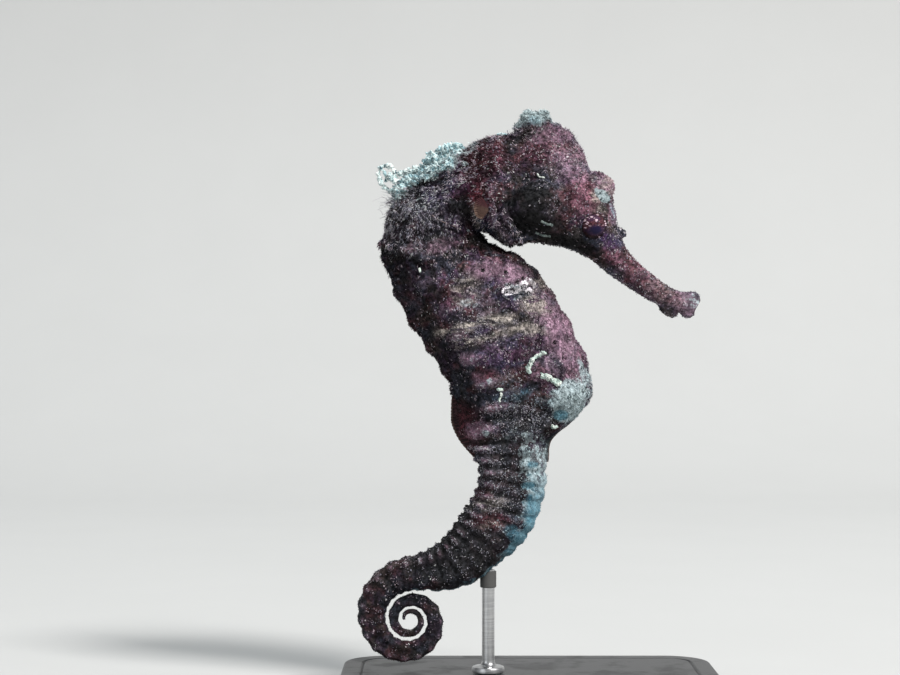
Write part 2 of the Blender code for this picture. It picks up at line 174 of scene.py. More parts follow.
def join(parts: list) -> Thing:
    """Join objects into the first of them."""
    pick(parts[0])
    for part in parts[1:]:
        part.select_set(True)
    bpy.ops.object.join()
    return parts[0]


def in_edit_mode(thing: Thing, *steps) -> None:
    """Run mesh operators on all of an object's faces.

    Args:
        thing: Object to work on.
        *steps: Functions of no arguments, each one operator call.
    """
    pick(thing)
    bpy.ops.object.mode_set(mode="EDIT")
    bpy.ops.mesh.select_all(action="SELECT")
    for step in steps:
        step()
    bpy.ops.object.mode_set(mode="OBJECT")


def face_outwards() -> None:
    """Turn the selected faces of a closed mesh outwards."""
    bpy.ops.mesh.normals_make_consistent(inside=False)


def points_of(thing: Thing) -> Array:
    """An object's vertices, in millimetres."""
    values = np.zeros(len(thing.data.vertices) * 3)
    thing.data.vertices.foreach_get("co", values)
    return values.reshape(-1, 3) / MM


def put_points(thing: Thing, points: Array) -> None:
    """Move an object's vertices to places given in millimetres."""
    thing.data.vertices.foreach_set("co", (points * MM).ravel())
    thing.data.update()


def normals_of(thing: Thing) -> Array:
    """An object's vertex normals."""
    values = np.zeros(len(thing.data.vertices) * 3)
    thing.data.vertex_normals.foreach_get("vector", values)
    return values.reshape(-1, 3)


def write_values(mesh: bpy.types.Mesh, name: str, values: Array) -> None:
    """Store one number for each vertex under a name that materials read."""
    layer = mesh.attributes.new(name, "FLOAT", "POINT")
    layer.data.foreach_set("value", values.astype(np.float32))


def write_map(mesh: bpy.types.Mesh, corners: Array) -> None:
    """Store the bake map, one pair for each face corner."""
    layer = mesh.uv_layers.new(name=BAKE_MAP)
    layer.data.foreach_set("uv", corners.astype(np.float32).ravel())


def mesh_from(name: str, points: Array, triangles: Array) -> Thing:
    """An object from arrays, for pieces made of many small solids.

    Args:
        name: Name of the object.
        points: Vertices in millimetres.
        triangles: Rows of three vertex numbers.

    Returns:
        The new object, linked to the scene.
    """
    mesh = bpy.data.meshes.new(name)
    mesh.vertices.add(len(points))
    mesh.vertices.foreach_set("co", (points * MM).ravel())
    mesh.loops.add(triangles.size)
    mesh.loops.foreach_set("vertex_index", triangles.ravel())
    mesh.polygons.add(len(triangles))
    mesh.polygons.foreach_set("loop_start", np.arange(len(triangles)) * 3)
    mesh.update(calc_edges=True)
    thing = bpy.data.objects.new(name, mesh)
    bpy.context.scene.collection.objects.link(thing)
    return thing


def smooth_shaded(thing: Thing, degrees: float = 180.0) -> Thing:
    """Shade an object smooth, with edges above an angle left sharp."""
    thing.data.shade_smooth()
    if degrees < 180:
        thing.data.set_sharp_from_angle(angle=math.radians(degrees))
    return thing


def show(thing: Thing, slot: str, replaced: tuple = ()) -> None:
    """Hand a finished piece to the frame.

    Args:
        thing: The piece, at the origin.
        slot: Name of the material slot meant for the piece; not used.
        replaced: Names of the CAD nodes that it stands for.
    """
    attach(thing, BODY_NAME)
    if replaced:
        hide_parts(*replaced)
    LOG.info("%s: %d faces", thing.name, len(thing.data.polygons))


class Grain:
    """Seeded noise for shaping, the same on every run."""

    TABLE = 4096
    STRIDES = (73856093, 19349663, 83492791)

    def __init__(self, seed: int):
        """Draw the table of random numbers that all the noise reads."""
        self.table = np.random.default_rng(seed).random((self.TABLE, 4))

    def pick(self, cells: Array) -> Array:
        """Four random numbers for each whole-numbered cell."""
        mixed = np.zeros(len(cells), np.int64)
        for column, stride in zip(cells.T.astype(np.int64), self.STRIDES):
            mixed ^= column * stride
        return self.table[mixed % self.TABLE]

    def smooth(self, points: Array, size: float) -> Array:
        """Soft noise between -1 and 1, with features of about the given size."""
        scaled = points / size
        cell = np.floor(scaled)
        share = scaled - cell
        share = share * share * (3 - 2 * share)
        total = np.zeros(len(points))
        for corner in np.ndindex(2, 2, 2):
            weight = np.prod(np.where(corner, share, 1 - share), axis=1)
            total += weight * self.pick(cell + corner)[:, 0]
        return total * 2 - 1

    def rough(self, points: Array, size: float, octaves: int = 3) -> Array:
        """Soft noise with finer noise laid over it."""
        total = np.zeros(len(points))
        for octave in range(octaves):
            total += self.smooth(points + 17.3 * octave, size / 2**octave) / 2**octave
        return total / (2 - 0.5 ** (octaves - 1))

    def pimples(self, points: Array, size: float) -> tuple:
        """Distance to the nearest of a field of scattered points, and its random number.

        Args:
            points: Places to read.
            size: Mean spacing of the scattered points.

        Returns:
            Distances in the points' units, and a number from 0 to 1 for each.
        """
        scaled = points / size
        cell = np.floor(scaled)
        best = np.full(len(points), np.inf)
        kind = np.zeros(len(points))
        for step in np.ndindex(3, 3, 3):
            near = cell + step - np.ones(3)
            draw = self.pick(near)
            gap = np.linalg.norm(near + draw[:, :3] - scaled, axis=1)
            closer = gap < best
            best = np.where(closer, gap, best)
            kind = np.where(closer, draw[:, 3], kind)
        return best * size, kind


# The body's mid-line and cross-sections, as the solids have them


# Half cross-sections from the back to the belly, as (height, reach) pairs. Height
# runs from 1 on the back to -1 on the belly, and reach is a share of half the width.
# The second, fourth and seventh pairs are the upper, side and lower ridges.
ROUND = tuple((math.cos(math.pi * i / 8), math.sin(math.pi * i / 8)) for i in range(9))
FACE = ((1.0, 0.0), (0.94, 0.34), (0.76, 0.64), (0.46, 0.92), (0.12, 1.0),
        (-0.28, 0.94), (-0.62, 0.74), (-0.88, 0.42), (-1.0, 0.0))
CHEEK = ((1.0, 0.0), (0.93, 0.20), (0.70, 0.42), (0.38, 0.66), (0.02, 0.90),
         (-0.34, 1.0), (-0.66, 0.90), (-0.90, 0.55), (-1.0, 0.0))
NECK = ((1.0, 0.0), (0.95, 0.30), (0.74, 0.60), (0.42, 0.88), (0.06, 1.0),
        (-0.32, 0.98), (-0.66, 0.80), (-0.90, 0.46), (-1.0, 0.0))
TRUNK = ((0.94, 0.0), (1.0, 0.38), (0.78, 0.70), (0.50, 1.0), (0.10, 0.95),
         (-0.32, 0.92), (-0.68, 0.76), (-0.91, 0.42), (-1.0, 0.0))
TAIL = ((0.93, 0.0), (0.98, 0.36), (0.92, 0.68), (0.72, 0.97), (0.32, 0.90),
        (-0.10, 0.92), (-0.50, 1.0), (-0.88, 0.60), (-1.0, 0.0))
UPPER_RIDGE, SIDE_RIDGE, LOWER_RIDGE, BELLY_LINE = 1, 3, 6, 8
ONCE_ROUND = 2 * BELLY_LINE         # profile positions once round the body
TRUNK_RINGS = 11
TAIL_RINGS = 39
TAIL_TAPER = 0.20
COIL_LENGTH = 47.0
COIL_STEPS = 40
COIL_RADII = (7.6, 1.25)
COIL_TAPER = 1.1
TIP_DEPTH = 0.9
TIP_ASPECT = 0.92


@dataclass(frozen=True)
class Station:
    """One cross-section of the body, in millimetres and degrees."""

    name: str
    x: float
    z: float
    lean: float         # direction from belly to back, turned up from +X
    depth: float
    width: float
    profile: tuple


# From the mouth back: name, x, z, lean, depth and width of each cross-section.
SECTIONS = (
    (ROUND, (
        ("mouth", 26.2, 61.0, 62.0, 3.0, 2.5), ("lip", 25.0, 61.5, 62.0, 3.7, 3.1),
        ("snout_front", 21.9, 62.4, 52.0, 3.9, 3.1), ("snout_mid", 17.8, 64.9, 52.3, 4.5, 3.4),
        ("snout_rear", 13.8, 68.2, 52.3, 5.4, 4.2),
    )),
    (FACE, (
        ("snout_base", 11.1, 72.0, 53.0, 8.1, 6.2), ("eye", 8.8, 74.6, 56.0, 11.0, 8.2),
        ("brow", 6.3, 76.6, 61.0, 13.7, 9.2),
    )),
    (CHEEK, (
        ("forehead", 4.1, 79.2, 68.0, 17.7, 9.9), ("crown", 1.0, 79.9, 78.0, 18.9, 10.5),
        ("hind_crown", -2.1, 79.6, 88.0, 18.1, 10.7),
    )),
    (NECK, (
        ("gill_rear", -5.2, 79.4, 98.0, 17.4, 10.2), ("nape", -8.8, 79.0, 111.0, 13.8, 9.6),
        ("neck", -11.7, 77.7, 131.0, 12.4, 9.6), ("shoulder", -14.2, 75.8, 152.0, 14.4, 10.2),
    )),
    (TRUNK, (
        ("collar", -14.8, 72.8, 170.0, 16.4, 11.0), ("breast", -14.3, 69.9, 183.0, 18.1, 11.8),
        ("chest", -12.6, 67.4, 194.0, 19.5, 12.3), ("rib_1", -9.9, 64.1, 201.0, 21.3, 12.7),
        ("rib_2", -7.1, 60.0, 203.0, 21.9, 12.9), ("rib_3", -4.6, 56.1, 202.0, 21.6, 13.0),
        ("belly", -2.8, 52.7, 199.0, 21.6, 13.0), ("loin_1", -1.6, 49.8, 195.0, 22.0, 12.9),
        ("loin_2", -1.0, 47.2, 191.0, 21.9, 12.7), ("hip", -0.9, 45.2, 187.0, 21.4, 12.4),
        ("rump", -2.0, 43.1, 183.0, 18.6, 11.8),
    )),
    (TAIL, (
        ("vent", -3.6, 39.8, 180.0, 13.2, 10.4), ("tail_a", -3.0, 36.9, 176.0, 11.7, 9.7),
        ("tail_b", -2.8, 34.2, 171.0, 11.0, 9.2), ("tail_c", -3.2, 31.3, 165.0, 10.9, 8.8),
        ("tail_d", -4.4, 28.4, 157.0, 11.0, 8.5), ("tail_e", -6.4, 25.7, 147.0, 10.7, 8.1),
        ("tail_f", -8.7, 23.3, 138.0, 9.7, 7.6), ("tail_g", -11.3, 20.9, 124.0, 8.8, 7.0),
        ("tail_h", -14.7, 19.5, 103.0, 7.3, 6.3), ("tail_i", -18.8, 18.9, 92.0, 5.9, 5.4),
    )),
)
BODY = tuple(Station(*row, profile) for profile, rows in SECTIONS for row in rows)


def tail_end(last: Station, curled: bool) -> list:
    """Stations of the tail's end, straight on or curled to the belly side.

    Args:
        last: Station that the end follows.
        curled: Whether it turns, on a radius that shrinks.

    Returns:
        The stations, a step apart.
    """
    heading = math.radians(last.lean + 90)
    step = COIL_LENGTH / COIL_STEPS
    x, z = last.x, last.z
    stations = []
    for i in range(1, COIL_STEPS + 1):
        share = i / COIL_STEPS
        if curled:
            heading += step / (COIL_RADII[0] + (COIL_RADII[1] - COIL_RADII[0]) * share)
        x += step * math.cos(heading)
        z += step * math.sin(heading)
        depth = TIP_DEPTH + (last.depth - TIP_DEPTH) * (1 - share) ** COIL_TAPER
        lean = math.degrees(heading) - 90
        stations.append(Station(f"coil_{i:02d}", x, z, lean, depth, depth * TIP_ASPECT, TAIL))
    return stations


class Track:
    """The body's mid-line and cross-sections, read at any length from the mouth."""

    FINE = 12           # steps between two stations
    PROBE = 0.2         # step of the search along the mid-line, in mm
    FAR = 7.0           # how far outside the body a point may still belong to a section

    def __init__(self, stations: tuple):
        """Lay cubic steps through the stations."""
        rows = np.array([self.row(station) for station in stations])
        strides = np.hypot(*np.diff(rows[:, :2], axis=0).T)
        knots = np.concatenate(([0.0], np.cumsum(strides)))
        self.length_at = dict(zip((station.name for station in stations), knots))
        self.knots, self.rows = self.refine(knots, rows)
        self.end = self.knots[-1]
        self.rings = self.ring_ends()

    @staticmethod
    def row(station: Station) -> list:
        """All the numbers of a station in one list."""
        pairs = [value for pair in station.profile for value in pair]
        return [station.x, station.z, station.lean, station.depth, station.width, *pairs]

    @classmethod
    def refine(cls, knots: Array, rows: Array) -> tuple:
        """Cubic steps between the stations, with Catmull-Rom slopes."""
        slopes = np.gradient(rows, knots, axis=0)
        fine_knots, fine_rows = [], []
        for i in range(len(knots) - 1):
            span = knots[i + 1] - knots[i]
            for j in range(cls.FINE):
                t = j / cls.FINE
                start = (2 * t**3 - 3 * t**2 + 1) * rows[i] + (t**3 - 2 * t**2 + t) * span * slopes[i]
                end = (3 * t**2 - 2 * t**3) * rows[i + 1] + (t**3 - t**2) * span * slopes[i + 1]
                fine_knots.append(knots[i] + t * span)
                fine_rows.append(start + end)
        return np.array([*fine_knots, knots[-1]]), np.array([*fine_rows, rows[-1]])

    def ring_ends(self) -> Array:
        """Lengths of the grooves between the bony rings, from the gill to the tip."""
        gill, vent = self.length_at["gill_rear"], self.length_at["vent"]
        trunk = np.linspace(gill, vent, TRUNK_RINGS + 1)
        shares = np.linspace(0, 1, TAIL_RINGS + 1)
        tail = vent + (self.end - vent) * shares * (1 + TAIL_TAPER / 2 * (1 - shares))
        return np.concatenate((trunk, tail[1:]))

    def read(self, length: Array) -> Array:
        """Rows of x, z, lean, depth, width and profile pairs at many lengths."""
        return np.stack([np.interp(length, self.knots, column) for column in self.rows.T], axis=1)

    def place(self, length: Array, up: Array, side: Array) -> Array:
        """Points of the posed body.

        Args:
            length: Length from the mouth of each point.
            up: Distance from the mid-line towards the back.
            side: Distance sideways, to the left.

        Returns:
            The points, in millimetres.
        """
        rows = self.read(length)
        lean = np.radians(rows[:, 2])
        x = rows[:, 0] + np.cos(lean) * up
        z = rows[:, 1] + np.sin(lean) * up
        return np.stack((x, side, z), axis=1)

    def surface(self, length: Array, turn: Array, rise: float = 0.0) -> Array:
        """Points on the body's surface.

        Args:
            length: Length from the mouth of each point.
            turn: Profile position, 0 on the back, 8 on the belly, and on round to 16.
            rise: Distance outwards from the solids' surface.

        Returns:
            The points, on one smooth curve through each section's profile.
        """
        rows = self.read(length)
        half = rows[:, 5:].reshape(len(rows), -1, 2)
        other = half[:, -2:0:-1] * (1, -1)
        loop = np.concatenate((half, other), axis=1)
        base = np.floor(turn).astype(int)
        t = (turn - base)[:, None]
        lines = np.arange(len(rows))
        before, first, second, after = (loop[lines, (base + step) % loop.shape[1]] for step in (-1, 0, 1, 2))
        pairs = 0.5 * (2 * first + (second - before) * t
                       + (2 * before - 5 * first + 4 * second - after) * t**2
                       + (3 * first - before - 3 * second + after) * t**3)
        up = pairs[:, 0] * rows[:, 3] / 2
        side = -pairs[:, 1] * rows[:, 4] / 2
        push = 1 + rise / np.hypot(up, side)
        return self.place(length, up * push, side * push)

    def unbend(self, points: Array) -> tuple:
        """Where points lie on the body.

        Args:
            points: Places in millimetres.

        Returns:
            Length from the mouth, distance towards the back, and distance sideways.
        """
        probes = np.arange(0.0, self.end, self.PROBE)
        rows = self.read(probes)
        lean, half = np.radians(rows[:, 2]), rows[:, 3] / 2
        back_x, back_z = np.cos(lean), np.sin(lean)
        length, up = np.zeros(len(points)), np.zeros(len(points))
        for chunk in np.array_split(np.arange(len(points)), len(points) // 4000 + 1):
            off_x = points[chunk, 0][:, None] - rows[:, 0]
            off_z = points[chunk, 2][:, None] - rows[:, 1]
            ahead = off_x * back_z - off_z * back_x
            rise = off_x * back_x + off_z * back_z
            crossed = ahead[:, :-1] * ahead[:, 1:] <= 0
            excess = np.where(crossed, np.abs(rise[:, :-1]) - half[:-1], np.inf)
            best = excess.argmin(axis=1)
            lines = np.arange(len(chunk))
            lost = excess[lines, best] > self.FAR
            gap = ahead[lines, best] - ahead[lines, best + 1]
            share = np.where(np.abs(gap) > 1e-9, ahead[lines, best] / np.where(gap == 0, 1, gap), 0)
            nearest = np.hypot(off_x, off_z).argmin(axis=1)
            length[chunk] = np.where(lost, probes[nearest], probes[best] + share * self.PROBE)
            up[chunk] = np.where(lost, rise[lines, nearest], rise[lines, best])
        return length, up, points[:, 1]

    def around(self, length: Array, up: Array, side: Array) -> tuple:
        """Profile position of points, 0 on the back to 8 on the belly, and their angle.

        Returns:
            The position, the angle from the back in radians, and how far out the point
            lies as a share of the section's own reach.
        """
        rows = self.read(length)
        high, wide = up / (rows[:, 3] / 2), np.abs(side) / (rows[:, 4] / 2)
        angle = np.arctan2(wide, high)
        half = rows[:, 5:].reshape(len(rows), -1, 2)
        marks = np.arctan2(np.abs(half[:, :, 1]), half[:, :, 0])
        place = np.zeros(len(rows))
        reach = np.hypot(half[:, 0, 0], half[:, 0, 1])
        for i in range(half.shape[1] - 1):
            share = np.clip((angle - marks[:, i]) / (marks[:, i + 1] - marks[:, i]), 0, 1)
            place += share
            step = np.hypot(half[:, i + 1, 0], half[:, i + 1, 1]) - np.hypot(half[:, i, 0], half[:, i, 1])
            reach = reach + share * step
        return place, angle, np.hypot(high, wide) / reach

    def ring(self, length: Array) -> Array:
        """Which ring a length is in, counted from the gill, with its share of the ring."""
        return np.interp(length, self.rings, np.arange(len(self.rings)))


@dataclass
class Spots:
    """Places on the body, each with what the shaping and the markings read there."""

    points: Array
    length: Array
    around: Array
    angle: Array
    share: Array
    ring: Array

    @classmethod
    def on(cls, track: Track, points: Array) -> "Spots":
        """Read where points lie on the body."""
        length, up, side = track.unbend(points)
        around, angle, share = track.around(length, up, side)
        return cls(points, length, around, angle, share, track.ring(length))

    def take(self, index: Array) -> "Spots":
        """The places at the given positions only."""
        return Spots(*(getattr(self, each.name)[index] for each in fields(self)))

    @property
    def flat(self) -> Array:
        """The points as seen from the side: rows of x and z."""
        return self.points[:, (0, 2)]

    @property
    def seen(self) -> Array:
        """The points of the near half as the camera sees them on the middle plane."""
        spread = 1 + np.abs(self.points[:, 1]) / -VIEW[1]
        middle = np.array((VIEW[0], VIEW[2]))
        return middle + (self.flat - middle) * spread[:, None]

    @property
    def crest(self) -> Array:
        """1 at the middle of each ring, 0 at the grooves between them."""
        return 0.5 - 0.5 * np.cos(2 * math.pi * self.ring)

    @property
    def groove(self) -> Array:
        """1 in the narrow groove between two rings, 0 elsewhere."""
        return (0.5 + 0.5 * np.cos(2 * math.pi * self.ring)) ** 4 * (self.ring > 0.02)


# Markings: soft patches of colour, painted shade among them, that the skin and the coat share


class Mark(Enum):
    """The kinds of patch, each one number for every point of the skin."""

    ROSE = "rose"
    WINE = "wine"
    SILT = "silt"
    OCHRE = "ochre"
    # Painted shade in hollows and creases, under the head and behind the side ridge, with some dark blotches
    # of the skin's own
    SHADE = "shade"
    INDIGO = "indigo"
    AZURE = "azure"
    CHALK = "chalk"
    GRIT = "grit"
    ASH = "ash"


@dataclass(frozen=True)
class Patch:
    """A soft oval of one mark, seen from the side, in millimetres and degrees."""

    mark: Mark
    x: float
    z: float
    reach: float
    height: float
    turn: float = 0.0
    strength: float = 1.0

    def read(self, flat: Array, edge: Array) -> Array:
        """Strength of the patch at points, its rim broken up by noise."""
        turn = math.radians(self.turn)
        off_x, off_z = flat[:, 0] - self.x, flat[:, 1] - self.z
        along = (off_x * math.cos(turn) + off_z * math.sin(turn)) / self.reach
        across = (off_z * math.cos(turn) - off_x * math.sin(turn)) / self.height
        return self.strength * ramp(np.hypot(along, across) + 0.35 * edge, 1.25, 0.45)


# Rows of x, z, reach and height, then turn and strength where they are not 0 and 1.
PATCH_ROWS = {
    Mark.ROSE: (
        (-4.7, 66.4, 5.4, 2.0, -8), (4.7, 56.6, 8.4, 2.8, -63), (2.7, 51.4, 3.5, 2.2, -50, 0.4),
        (-14.4, 70.6, 3.2, 1.3, 10, 0.55), (-4.6, 75.4, 3.4, 0.9, -56, 0.28),
        (-10.0, 52.8, 1.4, 1.2, 0, 0.9), (-8.0, 49.9, 1.2, 1.0, 0, 0.7), (-8.2, 41.6, 2.0, 1.7, 20, 0.85),
        (4.2, 88.2, 3.4, 1.6, -20, 0.7), (1.6, 87.6, 2.6, 0.9, 0, 0.6), (13.4, 69.4, 2.6, 1.1, -45, 0.25),
        (6.2, 49.6, 1.4, 1.3, 0, 0.8), (6.8, 83.4, 4.2, 3.4, -25, 0.55), (8.4, 78.7, 2.6, 3.0, 0, 0.3),
        (11.9, 80.3, 2.4, 2.0, 0, 0.6), (13.1, 75.9, 0.9, 2.2, 0, 0.45), (-8.0, 61.8, 3.8, 2.4, -30, 0.3),
        (18.6, 64.9, 7.5, 2.0, -38, 0.12), (25.0, 61.6, 2.8, 2.4, -30, 0.6),
        (-4.6, 55.6, 6.0, 3.6, 0, 0.12), (-18.4, 62.8, 1.6, 3.6, 14, 0.12),
    ),
    Mark.SILT: (
        (26.2, 62.2, 1.9, 2.0, 0, 0.5), (11.4, 78.6, 1.6, 0.9, -38), (6.5, 46.3, 4.0, 3.5, 60),
        (8.8, 49.8, 2.4, 1.2, -75, 0.7), (-2.4, 63.5, 2.8, 1.5, -14, 0.45), (-1.6, 40.6, 3.0, 1.8, 0, 0.35),
        (-12.7, 84.4, 1.7, 2.0, 30, 0.8), (-6.6, 49.4, 0.7, 1.0, 0, 0.55), (-7.2, 41.2, 0.9, 0.8, 0, 0.7),
        (-9.4, 61.6, 2.4, 1.2, -20, 0.35),
    ),
    Mark.OCHRE: (
        (20.6, 63.7, 6.0, 1.8, -36, 0.1), (0.8, 61.3, 2.8, 1.6, -20, 0.7), (-10.3, 63.7, 2.4, 2.6, 0, 0.45),
        (0.2, 57.4, 2.8, 1.6, -20, 0.6), (-8.4, 75.8, 0.8, 2.2, 5, 0.7), (1.3, 64.6, 1.6, 1.4, 0, 0.6),
        (11.4, 76.5, 0.9, 0.6, -25, 0.25), (10.2, 78.5, 0.9, 1.1, 10, 0.6), (12.3, 80.2, 1.6, 1.6, 0, 0.35),
        (-6.3, 29.7, 3.0, 1.4, 0, 0.3), (-6.0, 26.6, 2.4, 0.9, 0, 0.35),
    ),
    Mark.WINE: (
        (8.4, 78.7, 2.4, 3.4, 15), (-9.5, 80.3, 3.2, 2.6, 30, 0.8), (-7.9, 78.4, 1.8, 3.0, 0, 0.8),
        (2.0, 85.6, 5.2, 2.8, 0, 0.5), (-6.2, 84.6, 3.0, 3.2, 0, 0.7), (13.6, 68.9, 3.0, 1.8, -42, 0.8),
        (17.4, 65.6, 7.0, 2.4, -37, 0.5), (-3.6, 66.6, 4.4, 1.6, -8, 0.25), (-7.3, 50.2, 2.4, 1.2, 0, 0.9),
        (0.8, 50.2, 3.8, 1.3, 0, 0.4), (-10.2, 42.3, 3.0, 3.2), (-1.6, 53.4, 2.6, 1.2, 0, 0.5),
        (-12.0, 62.5, 2.2, 2.2, 0, 0.4), (-6.2, 27.2, 3.2, 1.6, 0, 0.8), (-8.4, 31.4, 2.6, 1.2, 0, 0.4),
    ),
    Mark.CHALK: (
        (-2.6, 63.8, 2.2, 1.0, 10), (-0.4, 64.4, 1.6, 1.4, 40, 0.85),
    ),
    # Painted shade under the gill cover, the throat, the eye and the crown, in the neck's notch, beside the
    # hump and under the worm tube, among some dark blotches of the skin's own
    Mark.SHADE: (
        (0.2, 74.3, 5.2, 2.6, -8), (-3.4, 77.6, 1.3, 3.0, 0, 0.85), (0.4, 77.8, 4.0, 3.0, 0, 0.86),
        (4.7, 71.6, 5.8, 1.5, -10), (8.7, 70.6, 3.0, 1.3, -35), (-10.3, 76.3, 1.7, 3.6, 15, 0.95),
        (-7.9, 71.5, 3.4, 1.5, -16), (-0.6, 82.4, 4.4, 2.8, 0, 0.5), (-2.2, 87.5, 2.2, 1.0, 10, 0.8),
        (-1.0, 70.2, 6.0, 1.1, -28, 0.6), (11.7, 76.5, 1.2, 0.8, -25, 0.6), (6.8, 76.1, 0.8, 0.5, 0, 0.8),
        (-7.6, 83.4, 3.4, 3.4, 20, 0.55), (-17.6, 68.2, 1.9, 1.2, -30, 0.9),
        (-15.4, 65.2, 0.9, 3.4, 8, 0.8), (-14.6, 60.6, 0.8, 2.0, 14, 0.6), (-16.4, 80.9, 3.4, 0.9, 8, 0.85),
        (-19.9, 79.6, 1.0, 1.2, 0, 0.8), (-17.7, 78.5, 1.1, 1.1, 0, 0.7), (-11.9, 76.8, 1.5, 1.6, 0, 0.9),
        (-20.6, 74.6, 1.5, 0.7, -20, 0.7), (-17.2, 72.2, 2.2, 0.8, -25, 0.6),
        (-13.6, 19.4, 4.6, 3.6, 0, 0.55), (-7.4, 24.6, 3.4, 3.0, -40, 0.4), (1.0, 48.6, 1.6, 0.7, -30, 0.6),
        (2.9, 41.4, 1.4, 1.9, 0, 0.7), (-2.8, 85.8, 1.7, 2.4, 0, 0.5),
    ),
    Mark.INDIGO: (
        (10.6, 72.9, 2.0, 1.2, -20, 0.9), (12.6, 71.4, 2.0, 1.5, -40, 0.9),
        (-11.4, 79.8, 2.2, 1.6, 20, 0.5), (-5.9, 65.1, 1.6, 0.9, 0, 0.6), (-15.2, 78.6, 2.4, 1.8, 0, 0.45),
        (-5.0, 52.6, 4.4, 2.4, 0, 0.35), (-2.6, 54.8, 2.4, 1.6, 0, 0.35), (-7.4, 57.2, 1.6, 1.2, 0, 0.6),
        (-4.4, 62.2, 3.0, 1.2, 0, 0.25),
    ),
    Mark.AZURE: (
        (-3.0, 47.4, 4.6, 2.2, 0, 0.5), (-4.6, 60.2, 1.2, 0.8, 0, 0.35), (2.0, 46.0, 2.2, 1.2, 0, 0.45),
        (4.8, 43.9, 1.4, 1.0), (-0.2, 32.9, 1.5, 0.8, 5), (0.3, 36.1, 1.2, 0.7, 0, 0.8),
        (0.8, 28.8, 1.6, 3.2, 25, 0.8), (-2.2, 24.6, 1.5, 3.6, 42, 0.8), (1.0, 90.4, 1.6, 0.8, 0, 0.5),
        (13.0, 76.6, 0.5, 2.2, 15, 0.5),
    ),
    Mark.GRIT: (
        (-18.6, 77.0, 5.6, 6.0, 0, 0.9), (-10.4, 83.0, 3.6, 3.0, 30, 0.9), (6.4, 83.6, 4.2, 4.0, 0, 0.5),
        (3.6, 77.6, 1.0, 2.2, 0, 0.5), (-1.6, 43.9, 6.2, 3.6, 0, 0.8), (-8.4, 58.4, 4.4, 5.0, 0, 0.55),
        (-4.6, 33.0, 4.0, 6.5, 0, 0.35), (0.6, 61.4, 3.2, 2.6, 0, 0.5),
    ),
    Mark.ASH: (
        (-18.6, 75.8, 7.0, 7.5, 0, 0.75), (1.0, 77.0, 5.0, 4.5, 0, 0.7), (25.6, 61.6, 1.6, 2.4, 0, 0.5),
        (-0.6, 43.4, 6.0, 3.8, 0, 0.85), (-7.0, 58.6, 5.0, 3.6, 0, 0.5), (-3.5, 34.5, 6.0, 8.0, 0, 0.85),
        (-11.0, 23.0, 9.0, 8.0, 0, 0.9),
    ),
}
PATCHES = tuple(Patch(mark, *row) for mark, rows in PATCH_ROWS.items() for row in rows)


@dataclass(frozen=True)
class Stroke:
    """A narrow mark along a broken line, seen from the side, that also moves the skin."""

    mark: Mark
    path: tuple
    width: float
    strength: float = 1.0
    rise: float = 0.0

    def read(self, seen: Array) -> Array:
        """Closeness to the line, 1 on it and falling away over its width."""
        return hill(way_off(seen, self.path), 0.0, self.width)


